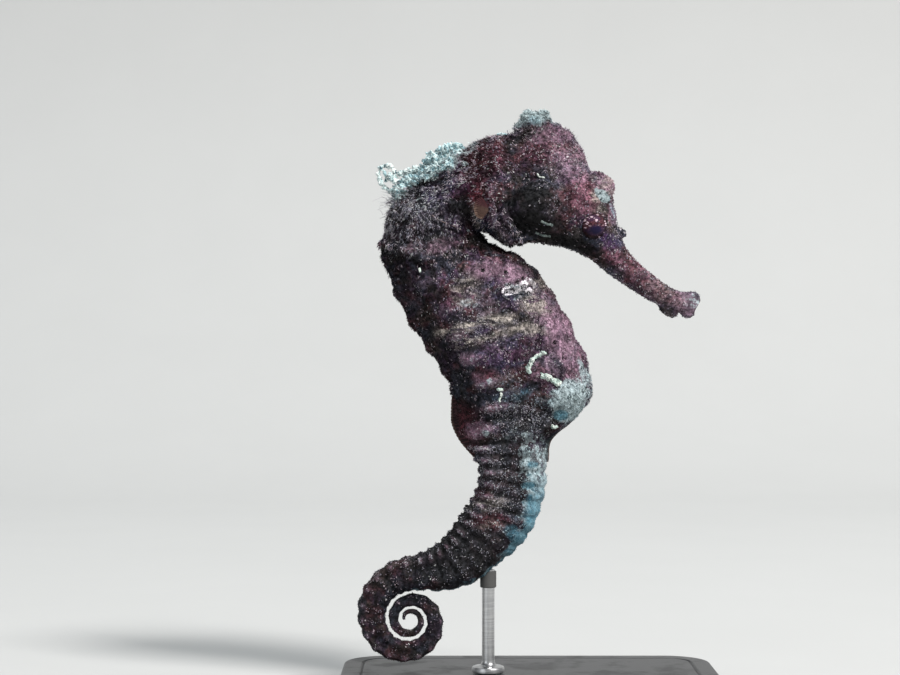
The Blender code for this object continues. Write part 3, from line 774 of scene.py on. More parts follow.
GILL_RIDGES = (
    ((-5.9, 80.3), (-6.2, 78.2), (-6.1, 76.2), (-5.4, 74.6), (-4.2, 72.8), (-2.8, 71.4)),
    ((-4.4, 78.5), (-4.3, 76.5), (-3.6, 74.9), (-2.5, 73.2), (-1.4, 71.6)),
)
# The SHADE strokes paint shade into the creases and grooves that they sink, under ledges and ridges, and
# along the undersides of the snout and chin
STROKES = (
    Stroke(Mark.GRIT, GILL_RIDGES[0], 0.55, 1.0, 0.50),
    Stroke(Mark.ROSE, GILL_RIDGES[0], 0.60, 0.35, 0.0),
    Stroke(Mark.SHADE, ((-5.2, 78.5), (-5.1, 76.5), (-4.4, 74.6), (-3.3, 72.8), (-2.2, 71.4)), 0.28, 0.9,
            -0.42),
    Stroke(Mark.GRIT, GILL_RIDGES[1], 0.30, 1.0, 0.34),
    Stroke(Mark.SHADE, ((-3.5, 77.4), (-3.2, 75.8), (-2.2, 74.1), (-0.9, 72.5)), 0.40, 1.0, -0.45),
    Stroke(Mark.SHADE, ((-11.1, 79.5), (-10.6, 77.1), (-9.8, 74.7), (-8.5, 72.8)), 1.0, 0.8, -0.40),
    Stroke(Mark.CHALK, ((-15.4, 75.4), (-14.2, 74.7), (-12.3, 73.9), (-10.8, 73.2)), 0.15, 0.6, 0.20),
    Stroke(Mark.SHADE, ((-15.2, 74.6), (-14.0, 73.9), (-12.2, 73.1), (-10.9, 72.4)), 0.30, 0.9, -0.35),
    Stroke(Mark.GRIT, ((-23.9, 71.1), (-21.8, 70.5), (-19.8, 70.0), (-17.9, 69.4), (-16.6, 68.4)), 0.60,
            1.0, 0.60),
    Stroke(Mark.SHADE, ((-23.4, 70.0), (-21.3, 69.4), (-19.3, 68.7), (-17.4, 67.5)), 0.55, 1.0, -0.45),
    Stroke(Mark.SILT, ((-5.2, 85.0), (-5.5, 83.7), (-5.1, 82.5)), 0.45, 0.45, 0.15),
    Stroke(Mark.SHADE, ((-6.7, 85.8), (-6.8, 83.4), (-6.5, 81.4)), 0.40, 0.45, -0.28),
    Stroke(Mark.SHADE, ((-4.0, 87.4), (-4.1, 85.0), (-3.8, 82.3)), 0.50, 0.55, -0.32),
    Stroke(Mark.SHADE, ((-2.8, 75.4), (-0.9, 74.4), (0.9, 73.8)), 0.30, 1.0, -0.25),
    Stroke(Mark.SHADE, ((-2.2, 73.8), (-0.3, 72.8), (1.6, 72.2)), 0.30, 1.0, -0.25),
    Stroke(Mark.SHADE, ((4.1, 73.8), (6.3, 71.9), (9.2, 70.0)), 0.45, 0.8, -0.15),
    Stroke(Mark.SILT, ((12.5, 77.6), (13.1, 76.0), (13.5, 74.6)), 0.40, 0.45, 0.10),
    Stroke(Mark.CHALK, ((12.8, 77.0), (13.2, 75.7), (13.6, 74.4)), 0.30, 0.45, 0.0),
    Stroke(Mark.CHALK, ((13.7, 74.2), (14.4, 73.3), (15.2, 72.6)), 0.26, 1.0, 0.05),
    Stroke(Mark.SHADE, ((8.5, 70.0), (12.6, 67.5), (17.4, 64.3), (20.2, 62.1)), 0.50, 0.4, 0.0),
    Stroke(Mark.CHALK, ((20.2, 61.3), (21.1, 61.5), (22.2, 61.2)), 0.20, 0.8, 0.20),
    Stroke(Mark.SHADE, ((20.6, 60.6), (21.8, 60.5), (23.0, 60.3)), 0.42, 1.0, -0.30),
    Stroke(Mark.SHADE, ((-8.0, 70.5), (-4.6, 69.8), (-1.9, 68.8), (0.5, 66.5), (2.0, 64.6)), 0.95, 0.95,
            0.0),
    Stroke(Mark.SHADE, ((2.0, 64.6), (3.9, 61.9), (5.4, 59.3)), 0.70, 0.40, 0.0),
    Stroke(Mark.OCHRE, ((-14.7, 56.9), (-10.7, 57.8), (-6.3, 58.9), (-2.8, 59.2)), 0.75, 1.0, 0.22),
    Stroke(Mark.OCHRE, ((-11.8, 55.0), (-8.2, 55.8), (-4.7, 56.9), (-1.6, 57.7)), 0.60, 0.9, 0.20),
    Stroke(Mark.SHADE, ((-9.5, 56.4), (-7.6, 56.1), (-6.0, 56.9)), 0.50, 0.8, -0.30),
    Stroke(Mark.SHADE, ((-5.2, 59.8), (-3.2, 60.3)), 0.55, 0.8, -0.30),
    Stroke(Mark.SHADE, ((-9.5, 47.1), (-4.7, 46.3), (0.0, 45.7), (2.8, 44.4)), 0.55, 0.6, -0.30),
    Stroke(Mark.SHADE, ((-9.5, 44.4), (-6.3, 43.8), (-3.2, 43.1)), 0.50, 0.7, -0.30),
    Stroke(Mark.SHADE, ((-4.7, 44.2), (-1.0, 43.6), (2.5, 43.8), (4.4, 42.9)), 0.60, 0.7, -0.20),
    Stroke(Mark.SHADE, ((-9.8, 40.0), (-8.0, 39.6), (-4.7, 39.6)), 0.40, 0.7, -0.35),
    Stroke(Mark.SHADE, ((1.6, 42.3), (3.5, 43.5), (4.7, 44.6)), 0.60, 0.7, -0.20),
    Stroke(Mark.SILT, ((7.7, 52.6), (8.7, 50.2), (9.5, 47.9), (9.2, 46.0)), 0.80, 0.6, 0.0),
    Stroke(Mark.SHADE, ((-15.4, 72.8), (-12.0, 70.6), (-8.0, 69.8)), 0.60, 0.5, -0.35),
)
PORES = ((-3.8, 66.5), (-5.5, 65.6), (-1.0, 65.6), (-7.4, 66.8), (-3.3, 64.5), (-2.0, 64.9), (-2.6, 63.6),
         (-1.2, 64.1), (-0.2, 63.2), (-3.7, 63.4), (1.7, 58.0), (3.4, 60.3), (3.9, 55.4), (5.4, 52.9),
         (2.6, 53.6), (6.2, 56.3))
PORE_REACH = 0.38


def strengthen(marks: dict, mark: Mark, layer: Array) -> None:
    """Keep the stronger of a mark and a new layer of it, at each place."""
    marks[mark] = np.maximum(marks[mark], layer)


class Markings:
    """Reads every mark at places on the body."""

    EDGE = 1.4          # size of the noise that breaks up the patches' rims, in mm

    def __init__(self, track: Track):
        """Keep the body's track, and the noise of the patches' rims."""
        self.track = track
        self.grain = Grain(31)

    def read(self, spots: Spots, normals: Array) -> dict:
        """Strength of each mark, from 0 to 1.

        Args:
            spots: Places on the body.
            normals: Their outward directions.

        Returns:
            One array for each mark, and one named pores.
        """
        edge = self.grain.rough(spots.points, self.EDGE)
        marks = {mark: np.zeros(len(edge)) for mark in Mark}
        seen = spots.seen
        for patch in PATCHES:
            strengthen(marks, patch.mark, patch.read(seen, edge))
        # The gill's raised ridges lift the painted shade that lies over them
        bright = np.zeros(len(edge))
        for stroke in STROKES:
            drawn = stroke.strength * stroke.read(seen) * (0.75 + 0.5 * edge)
            strengthen(marks, stroke.mark, drawn)
            if stroke.mark is Mark.GRIT:
                bright = np.maximum(bright, np.clip(drawn, 0, 1))
        marks[Mark.SHADE] *= 1 - 0.75 * bright
        self.add_silt(marks, spots, normals, edge)
        self.add_shade(marks, spots, edge)
        self.add_rings(marks, spots)
        values = {mark.value: np.clip(marks[mark], 0, 1) for mark in Mark}
        values["pores"] = self.pores(spots)
        return values

    def add_silt(self, marks: dict, spots: Spots, normals: Array, edge: Array) -> None:
        """Silt that has settled on what faces up, and the tail's pale under side.

        Args:
            marks: The marks, changed in place.
            spots: Places on the body.
            normals: Their outward directions.
            edge: Noise that breaks up the rims.
        """
        at = self.track.length_at
        up = normals[:, 2]
        length = spots.length
        hump = ramp(length, at["gill_rear"], at["nape"]) * ramp(length, at["collar"], at["shoulder"])
        strengthen(marks, Mark.SILT, hump * ramp(up + 0.35 * edge, 0.55, 0.92))
        crown = ramp(spots.points[:, 2] + 0.9 * edge - 0.6 * ramp(spots.points[:, 0], 0.8, 2.8), 88.4, 90.6)
        snout = 0.25 * ramp(length, at["snout_base"], at["snout_rear"]) * ramp(up + 0.3 * edge, 0.35, 0.9)
        tail = ramp(length, at["rump"], at["vent"] + 2) * ramp(length, at["tail_i"] + 8, at["tail_h"])
        places = [at[name] for name in ("vent", "tail_b", "tail_d", "tail_e", "tail_f")]
        inner = np.interp(length, places, [5.45, 5.50, 6.10, 6.55, 6.95])
        band = tail * ramp(spots.around + 0.75 * edge - inner, -0.6, 0.6)
        for layer in (0.95 * crown, snout, 0.68 * band):
            strengthen(marks, Mark.SILT, layer)
        blue = 0.42 + 0.55 * ramp(length, at["tail_a"], at["tail_d"])
        strengthen(marks, Mark.AZURE, blue * band)

    def add_shade(self, marks: dict, spots: Spots, edge: Array) -> None:
        """Painted shade on the flank behind the side ridge, which faces away from the light, and on the end
        of the tail.

        Args:
            marks: The marks, changed in place.
            spots: Places on the body.
            edge: Noise that breaks up the rims.
        """
        at = self.track.length_at
        length = spots.length
        trunk = ramp(length, at["collar"], at["breast"] + 1) * ramp(length, at["vent"] + 3, at["hip"])
        # Painted shade: the flank behind the side ridge, and the tail's end, darkened
        behind = trunk * ramp(spots.around + 0.4 * edge, 3.0, 2.3)
        tail = 0.70 * ramp(length, at["tail_c"], at["tail_f"])
        for layer in (0.62 * behind * (1 - 0.8 * marks[Mark.ROSE]), tail * (1 - 0.6 * marks[Mark.SILT])):
            strengthen(marks, Mark.SHADE, layer)

    def add_rings(self, marks: dict, spots: Spots) -> None:
        """Painted shade in the grooves between the rings and between the side ridge's knobs, and paler knobs
        where they cross the ridges.
        """
        at = self.track.length_at
        trunk = ramp(spots.length, at["collar"], at["breast"])
        tail = ramp(spots.length, at["rump"], at["vent"])
        pale = ramp(spots.around, 6.6, 5.6)
        # Painted shade in the ring grooves and in the gaps between knobs, taken off the knobs themselves
        groove = spots.groove * pale * (0.22 * trunk + 0.45 * tail)
        strengthen(marks, Mark.SHADE, np.clip(groove, 0, 1))
        strengthen(marks, Mark.GRIT, 0.9 * tail * spots.crest**2 * pale)
        knob = spots.crest**4 * hill(spots.around, SIDE_RIDGE, 0.45) * trunk
        knob *= 0.35 + 0.65 * ramp(spots.length, at["rib_1"], at["rib_3"])
        gap = (1 - spots.crest) ** 1.5 * hill(spots.around, SIDE_RIDGE + 0.1, 0.55) * trunk
        strengthen(marks, Mark.SHADE, 0.75 * gap)
        strengthen(marks, Mark.SILT, 0.35 * knob)
        strengthen(marks, Mark.ROSE, 0.7 * knob)
        marks[Mark.SHADE] = marks[Mark.SHADE] * (1 - 0.7 * knob)

    @staticmethod
    def pores(spots: Spots) -> Array:
        """1 in the middle of each pore, falling to 0 at its rim; the pores are sunk and painted near-black
        as shade in the pits.
        """
        depth = np.zeros(len(spots.points))
        seen = spots.seen
        for x, z in PORES:
            off = np.hypot(seen[:, 0] - x, seen[:, 1] - z)
            depth = np.maximum(depth, ramp(off, PORE_REACH * 1.3, PORE_REACH * 0.5))
        return depth


# Skin


@dataclass(frozen=True)
class Lump:
    """An oval lump that the remeshing joins to the body, in millimetres and degrees."""

    name: str
    place: tuple
    reach: tuple
    tilt: float = 0.0
    paired: bool = False


LUMPS = (
    Lump("coronet", (1.3, 0.0, 88.5), (2.6, 1.7, 2.7), 8),
    Lump("coronet_front", (3.6, 0.0, 88.8), (1.2, 1.2, 1.6), 28),
    Lump("coronet_slope", (5.5, 0.0, 87.5), (1.7, 1.5, 1.35), 40),
    Lump("coronet_rear", (-1.0, 0.0, 88.9), (1.3, 1.2, 1.7), -8),
    Lump("coronet_side", (1.0, 1.1, 89.7), (1.7, 0.9, 1.5), 8, True),
    Lump("coronet_tip", (-0.3, 0.5, 90.8), (1.1, 0.7, 1.1), -6, True),
    Lump("coronet_lobe", (2.2, 0.5, 90.8), (1.1, 0.7, 1.1), 14, True),
    Lump("coronet_top", (1.0, 0.0, 90.6), (1.5, 1.1, 1.2), 0),
    Lump("brow_knob", (11.6, 1.2, 79.7), (1.75, 1.1, 1.9), 15, True),
    Lump("brow_root", (10.1, 1.8, 79.1), (2.2, 1.4, 2.6), 24, True),
    Lump("brow_front", (11.9, 1.0, 77.5), (1.2, 1.0, 2.0), 0, True),
    Lump("brow_bridge", (10.2, 0.0, 79.8), (2.1, 1.6, 2.7), 30),
    Lump("nose_bridge", (12.4, 0.0, 75.3), (1.2, 1.2, 2.3), -12),
    Lump("nose_spine", (14.1, 0.0, 72.9), (0.72, 0.60, 1.35), 118),
    Lump("lip_floor", (25.0, 0.0, 60.6), (1.45, 0.9, 1.35), 20),
    Lump("lip_front", (25.4, 0.0, 61.6), (1.6, 1.35, 1.85), 0),
    Lump("jaw", (21.8, 0.0, 60.5), (1.7, 1.0, 0.9), 32),
)


@dataclass
class Skin:
    """The one skin over snout, head, neck, trunk and tail."""

    track: Track
    straight: Track                 # the same body before its tail is curled
    markings: Markings
    inset: float = 0.28             # the coat's depth
    voxel: float = 0.28
    along: int = 430
    turn_steps: int = 64
    eye: tuple = EYE_CENTRE
    eye_radius: float = EYE_RADIUS
    gill: tuple = (1.2, 77.3, 3.7)
    map_side: float = 92.0          # millimetres of skin along one side of the map
    map_half: float = 28.0          # room for half the girth of head and trunk
    grain: Grain = field(default_factory=lambda: Grain(7))
    thing: Thing = None
    spots: Spots = None
    marks: dict = None

    NODES = ("snout", "head", "neck", "coronet", "gill_cover_left", "gill_cover_right", "trunk_upper",
             "trunk_middle", "trunk_lower", *(f"tail_{i}" for i in range(1, 10)))
    CLEITHRUM = ((-5.9, 79.4), (-5.5, 76.8), (-4.6, 74.4), (-3.3, 72.5), (-1.9, 71.2))
    CHEEK_RIDGE = ((8.6, 71.6), (5.6, 72.2), (3.2, 73.0))
    SNOUT_RIDGE = ((14.6, 70.2), (19.2, 66.4), (23.6, 63.5))
    TEMPLE = ((8.7, 77.4), (5.6, 81.2), (3.4, 85.0), (2.2, 87.6))
    NAPE_RIDGE = ((-1.0, 86.4), (-5.2, 86.6), (-9.6, 84.6))

    def build(self) -> None:
        """Make the skin: body and lumps as one mesh, then its relief, marks and map."""
        body = self.roll()
        parts = [body, *self.lumps()]
        self.thing = join(parts)
        self.thing.name = "skin"
        apply(self.thing, "REMESH", mode="VOXEL", voxel_size=self.voxel * MM)
        apply(self.thing, "SMOOTH", factor=0.5, iterations=3)
        self.spots = Spots.on(self.straight, points_of(self.thing))
        for step in (self.rings, self.face, self.folds, self.lumpiness, self.roughness):
            self.raise_by(step())
        self.spots = Spots.on(self.straight, points_of(self.thing))
        self.curl()
        self.marks = self.markings.read(self.spots, normals_of(self.thing))
        self.raise_by(-0.22 * self.marks["pores"])
        for name, values in self.marks.items():
            write_values(self.thing.data, name, values)
        write_map(self.thing.data, self.unwrap_corners())
        smooth_shaded(self.thing)

    def curl(self) -> None:
        """Curl the straight end of the tail into its place."""
        points = points_of(self.thing)
        curled = self.track.place(*self.straight.unbend(points))
        in_tail = self.spots.length > self.track.length_at["tail_h"]
        self.spots.points = np.where(in_tail[:, None], curled, points)
        put_points(self.thing, self.spots.points)

    def roll(self) -> Thing:
        """A grid rolled into the body's tube and closed at both ends."""
        deselect()
        bpy.ops.mesh.primitive_grid_add(x_subdivisions=self.along, y_subdivisions=self.turn_steps, size=2.0)
        tube = newest("tube")
        shares = points_of(tube) * MM / 2 + 0.5
        length = shares[:, 0] * self.track.end
        rows = self.straight.read(length)
        turn = shares[:, 1] * ONCE_ROUND
        inset = np.minimum(self.inset, 0.09 * rows[:, 3])
        put_points(tube, self.straight.surface(length, turn % ONCE_ROUND, -inset))
        in_edit_mode(
            tube,
            lambda: bpy.ops.mesh.remove_doubles(threshold=1e-6),
            lambda: bpy.ops.mesh.fill_holes(sides=0),
            face_outwards)
        return tube

    def lumps(self) -> list:
        """The lumps of the head, as balls in place."""
        made = []
        for lump in LUMPS:
            sides = (-1, 1) if lump.paired else (1,)
            for side in sides:
                place = (lump.place[0], lump.place[1] * side, lump.place[2])
                deselect()
                bpy.ops.mesh.primitive_ico_sphere_add(
                    subdivisions=4, radius=1.0, location=Vector(place) * MM,
                    rotation=(0, math.radians(lump.tilt), 0), scale=Vector(lump.reach) * MM)
                made.append(settle(newest(lump.name)))
        return made

    def raise_by(self, rise: Array) -> None:
        """Move the skin outwards, in millimetres at each vertex."""
        put_points(self.thing, points_of(self.thing) + normals_of(self.thing) * rise[:, None])

    def rings(self) -> Array:
        """Rise of the bony rings, their knobs, and the ridges that join the knobs."""
        spots, at = self.spots, self.track.length_at
        trunk = ramp(spots.length, at["neck"], at["breast"]) * ramp(spots.length, at["vent"] + 1, at["rump"])
        tail = ramp(spots.length, at["rump"], at["vent"] + 1)
        slim = np.interp(spots.length, [at["vent"], at["tail_h"], self.track.end], [1.0, 0.75, 0.12])
        back = 0.35 + 0.65 * ramp(spots.length, at["rump"], at["vent"])
        ridges = (back * hill(spots.around, UPPER_RIDGE, 0.34) + hill(spots.around, SIDE_RIDGE, 0.42)
                  + 0.4 * hill(spots.around, LOWER_RIDGE, 0.40))
        sharp = spots.crest**4
        uneven = 1 + 0.45 * self.grain.smooth(spots.points, 2.2)
        rise = trunk * (0.14 * spots.crest**2 - 0.17 * spots.groove)
        rise += trunk * ridges * (0.16 + 0.74 * sharp * uneven)
        rise += tail * slim * (0.13 * spots.crest - 0.16 * spots.groove)
        rise += tail * slim * ridges * (0.06 + 0.26 * spots.crest**3 * uneven)
        belly_keel = trunk * hill(spots.around, BELLY_LINE, 0.35)
        return rise + belly_keel * (0.06 + 0.06 * sharp)

    def face(self) -> Array:
        """Rise of what shapes the head: lids, ridges, gill covers, lips and throat."""
        flat, spots = self.spots.flat, self.spots
        off_x, off_z = flat[:, 0] - self.eye[0], flat[:, 1] - self.eye[2]
        eye = np.hypot(off_x, off_z)
        beside = ramp(np.abs(spots.points[:, 1]), 1.4, 2.6)
        fold = self.grain.smooth(spots.points, 0.8)
        ahead = (0.55 * off_x + 0.83 * off_z) / np.maximum(eye, 0.1)
        lid = ramp(ahead, -0.1, 0.7)
        hollow = ramp(eye + 0.3 * fold + 0.35 * (1 - lid), 1.9, 1.2)
        rise = beside * (0.34 * hill(eye, self.eye_radius + 0.40, 0.55) - 1.5 * hollow)
        rise += beside * 0.40 * (1 - lid) * hill(eye, 1.95, 0.45)
        rise += beside * hill(eye, 1.98, 0.30) * (0.42 * lid + 0.20 * fold)
        rise += beside * 0.15 * hill(eye, self.eye_radius + 1.25, 0.32)
        x, z, reach = self.gill
        gill = np.hypot(flat[:, 0] - x, (flat[:, 1] - z) * 1.02)
        bearing = np.arctan2(flat[:, 1] - z - 1.2, flat[:, 0] - x - 2.6)
        ribs = np.cos(bearing * 26 + 1.2 * self.grain.smooth(spots.points, 1.6))
        cover = ramp(gill, reach, reach - 0.5)
        head = ramp(spots.length, self.track.length_at["nape"], self.track.length_at["gill_rear"])
        behind = ramp(flat[:, 0] - x, 2.2, -0.6)
        rim = hill(gill, reach + 0.35, 0.34)
        rise += head * ((0.12 + 0.18 * behind) * cover - (0.10 + 0.45 * behind) * rim)
        rise += head * cover * (0.05 * ribs + 0.34 * ramp(gill, 3.2, 0.4))
        for path, height, width in (
                (self.CLEITHRUM, 0.50, 1.00), (self.CHEEK_RIDGE, 0.30, 0.45), (self.SNOUT_RIDGE, 0.10, 0.35),
                (self.TEMPLE, 0.50, 0.70), (self.NAPE_RIDGE, 0.35, 0.70)):
            rise += height * beside * hill(way_off(flat, path), 0.0, width)
        lips = ramp(spots.length, 1.7, 0.9) * ramp(spots.length, 0.0, 0.25)
        mouth = ramp(spots.length, 0.5, 0.05) * ramp(spots.share, 0.85, 0.35)
        return rise + 0.14 * lips - 0.9 * mouth

    def folds(self) -> Array:
        """Rise of the folds and creases that the strokes draw."""
        seen = self.spots.seen
        beside = ramp(np.abs(self.spots.points[:, 1]), 0.6, 1.8)
        return beside * sum(stroke.rise * stroke.read(seen) for stroke in STROKES if stroke.rise)

    def lumpiness(self) -> Array:
        """Uneven flesh: soft swellings, and wrinkles that run round the body."""
        spots = self.spots
        at = self.track.length_at
        calm = ramp(spots.length, at["tail_i"] + 30, at["tail_h"])
        face = ramp(spots.length, at["eye"], at["brow"] + 1.5)
        wobble = self.grain.rough(spots.points, 2.6)
        bent = spots.length + 0.55 * self.grain.smooth(spots.points, 1.7)
        here = ramp(self.grain.smooth(spots.points + 40, 2.4), -0.2, 0.5)
        wrinkle = np.cos(2 * math.pi * bent / 0.95) * here
        trunk = ramp(spots.length, at["gill_rear"], at["neck"])
        knob = hill(np.hypot(spots.flat[:, 0] - 11.4, spots.flat[:, 1] - 79.6), 0.0, 2.4)
        knobbly = 0.34 * knob * self.grain.rough(spots.points + 23, 1.2, 2)
        return calm * ((0.10 + 0.16 * face) * wobble + 0.075 * trunk * wrinkle) + knobbly

    def roughness(self) -> Array:
        """Fine relief: crusts, pimples and pits."""
        spots = self.spots
        at = self.track.length_at
        slim = np.interp(spots.length, [at["vent"], self.track.end], [1.0, 0.25])
        snout = ramp(spots.length, at["snout_rear"], at["eye"])
        crust = self.grain.rough(spots.points + 9, 1.0, 2)
        gap, kind = self.grain.pimples(spots.points, 0.95)
        pimple = ramp(gap, 0.42, 0.08) * (kind > 0.35) * (0.4 + 0.6 * kind)
        top = ramp(spots.points[:, 2], 87.8, 89.6)
        folds = self.grain.rough(spots.points + 5, 1.1, 2)
        band = ramp(spots.length, at["vent"], at["tail_a"]) * ramp(spots.around, 6.2, 7.2)
        rise = slim * (0.22 + 0.78 * snout) * (1 - 0.8 * band) * (0.13 * crust + 0.17 * pimple)
        return rise + top * (0.34 * folds - 0.34 * ramp(gap, 0.30, 0.70))

    def unwrap(self, spots: Spots, side: Array, rear: Array) -> Array:
        """Places on the bake map, an unrolling of the body's own shape.

        The head and trunk's two halves lie above each other, and the tail's above them.

        Args:
            spots: Places on the body.
            side: 1 on the left half and -1 on the right one.
            rear: Whether each place is in the tail's strips.

        Returns:
            Rows of two numbers from 0 to 1.
        """
        split = self.track.length_at["vent"]
        signed = np.where(np.sign(spots.points[:, 1]) * side < 0, -1, 1)
        angle = spots.angle
        turn = np.where(signed > 0, angle, np.where(angle > 2, 2 * math.pi - angle, -angle))
        half = np.where(rear, self.map_half * 0.55, self.map_half)
        floor = np.where(rear, 2 * self.map_half + (side > 0) * (half + 1) + 2, (side > 0) * (half + 1))
        along = np.where(rear, spots.length - split, spots.length)
        cap = (1 - np.clip(spots.share, 0, 1)) * 2.0 * (spots.length < 0.6)
        u = (along + 2.2 - cap) / self.map_side
        v = (floor + 0.6 + turn / math.pi * (half - 0.6)) / self.map_side
        return np.stack((u, v), axis=1)

    def unwrap_corners(self) -> Array:
        """The bake map's place for each face corner of the skin."""
        mesh = self.thing.data
        corner = np.zeros(len(mesh.loops), int)
        mesh.loops.foreach_get("vertex_index", corner)
        sizes = np.zeros(len(mesh.polygons), int)
        mesh.polygons.foreach_get("loop_total", sizes)
        face = np.repeat(np.arange(len(sizes)), sizes)
        middle_side = np.bincount(face, self.spots.points[corner, 1]) / sizes
        middle_length = np.bincount(face, self.spots.length[corner]) / sizes
        spots = self.spots.take(corner)
        side = np.where(middle_side > 0, 1, -1)[face]
        rear = (middle_length > self.track.length_at["vent"])[face]
        return self.unwrap(spots, side, rear)


# Shader networks


class Wire:
    """A node's output; Python's operators add Math nodes to it."""

    def __init__(self, graph: "Graph", socket: bpy.types.NodeSocket):
        """Keep the socket and the graph that it belongs to."""
        self.graph = graph
        self.socket = socket

    def math(self, operation: str, *values) -> "Wire":
        """A Math node on the given values."""
        return self.graph.node("ShaderNodeMath", {"operation": operation}, dict(enumerate(values)))

    def __add__(self, other) -> "Wire":
        """This plus another value."""
        return self.math("ADD", self, other)

    __radd__ = __add__

    def __mul__(self, other) -> "Wire":
        """This times another value."""
        return self.math("MULTIPLY", self, other)

    __rmul__ = __mul__

    def __sub__(self, other) -> "Wire":
        """This less another value."""
        return self.math("SUBTRACT", self, other)

    def __rsub__(self, other) -> "Wire":
        """Another value less this."""
        return self.math("SUBTRACT", other, self)

    def step(self, low: float, high: float) -> "Wire":
        """A smooth step from 0 at low to 1 at high."""
        return self.graph.node(
            "ShaderNodeMapRange", {"interpolation_type": "SMOOTHSTEP"},
            {"Value": self, "From Min": low, "From Max": high})


class Graph:
    """One material's nodes."""

    def __init__(self, name: str):
        """Start a material with one Principled shader."""
        self.material = bpy.data.materials.new(name)
        self.material.use_nodes = True
        self.nodes = self.material.node_tree.nodes
        self.links = self.material.node_tree.links
        self.shader = self.nodes["Principled BSDF"]

    def node(self, kind: str, settings: dict = None, sockets: dict = None, out=0) -> Wire:
        """Add a node.

        Args:
            kind: The node's type.
            settings: Its properties, set first; "stops" holds a ramp's places and colours.
            sockets: Values or wires for its inputs, by name or number.
            out: Name or number of the output that is wanted.

        Returns:
            The output.
        """
        made = self.nodes.new(kind)
        for key, value in (settings or {}).items():
            if key == "stops":
                self.set_stops(made.color_ramp, value)
            else:
                setattr(made, key, value)
        for key, value in (sockets or {}).items():
            self.feed(made.inputs[key], value)
        return Wire(self, made.outputs[out])

    @staticmethod
    def set_stops(band: bpy.types.ColorRamp, stops: tuple) -> None:
        """Give a ramp its stops."""
        while len(band.elements) < len(stops):
            band.elements.new(1.0)
        for element, (place, colour) in zip(band.elements, stops):
            element.position = place
            element.color = (*colour, 1.0)

    def feed(self, socket: bpy.types.NodeSocket, value) -> None:
        """Link a wire to an input, or set the input's value."""
        if isinstance(value, Wire):
            self.links.new(value.socket, socket)
        elif socket.type == "RGBA" and not isinstance(value, (int, float)):
            socket.default_value = (*value, 1.0)[:4]
        elif socket.type == "RGBA":
            socket.default_value = (value, value, value, 1.0)
        else:
            socket.default_value = value

    def finish(self, **sockets) -> Finish:
        """Set the shader's inputs, words joined by underscores, and return the material."""
        for name, value in sockets.items():
            self.feed(self.shader.inputs[name.replace("_", " ")], value)
        return self.material

    def place(self, centre: tuple = (0.0, 0.0, 0.0), stretch: tuple = (1.0, 1.0, 1.0)) -> Wire:
        """Object coordinates in millimetres, from a centre, stretched on each axis."""
        own = self.node("ShaderNodeTexCoord", out="Object")
        scale = tuple(factor / MM for factor in stretch)
        shift = tuple(-middle * factor for middle, factor in zip(centre, stretch))
        return self.node("ShaderNodeMapping", {}, {"Vector": own, "Scale": scale, "Location": shift})

    def value(self, name: str) -> Wire:
        """A number stored on the mesh."""
        return self.node("ShaderNodeAttribute", {"attribute_name": name}, out="Fac")

    def mark(self, mark: Mark) -> Wire:
        """A mark stored on the mesh."""
        return self.value(mark.value)

    def mix(self, share, first, second, blend: str = "MIX") -> Wire:
        """Two colours mixed by a share from 0 to 1."""
        settings = {"data_type": "RGBA", "blend_type": blend, "clamp_factor": True}
        return self.node("ShaderNodeMix", settings, {0: share, 6: first, 7: second}, out=2)

    def layers(self, colour, *coats: tuple) -> Wire:
        """Colours laid over one another, each given with its share from 0 to 1."""
        for share, tone in coats:
            colour = self.mix(share, colour, tone)
        return colour

    def noise(self, place: Wire, size: float, detail: float = 3.0, roughness: float = 0.55,
              out: str = "Fac") -> Wire:
        """Soft noise with features of about a size."""
        return self.node("ShaderNodeTexNoise", {}, {
            "Vector": place, "Scale": 1 / size, "Detail": detail, "Roughness": roughness}, out)

    def cells(self, place: Wire, size: float, out="Distance") -> Wire:
        """A field of scattered points about a size apart."""
        return self.node("ShaderNodeTexVoronoi", {}, {"Vector": place, "Scale": 1 / size}, out)

    def moved(self, place: Wire, size: float, reach: float) -> Wire:
        """Places shifted about by noise, which breaks up a pattern's round shapes."""
        drift = self.node("ShaderNodeVectorMath", {"operation": "MULTIPLY"}, {
            0: self.noise(place, size, 1.0, out="Color"), 1: (reach, reach, reach)})
        return self.node("ShaderNodeVectorMath", {"operation": "ADD"}, {0: place, 1: drift})

    def channel(self, colour: Wire, name: str = "Red") -> Wire:
        """One channel of a colour."""
        return self.node("ShaderNodeSeparateColor", {}, {0: colour}, out=name)

    def relief(self, height: Wire, depth: float, strength: float = 1.0) -> Wire:
        """A normal bent by a height, with the relief's depth in millimetres."""
        return self.node("ShaderNodeBump", {}, {
            "Height": height, "Distance": depth * MM, "Strength": strength})


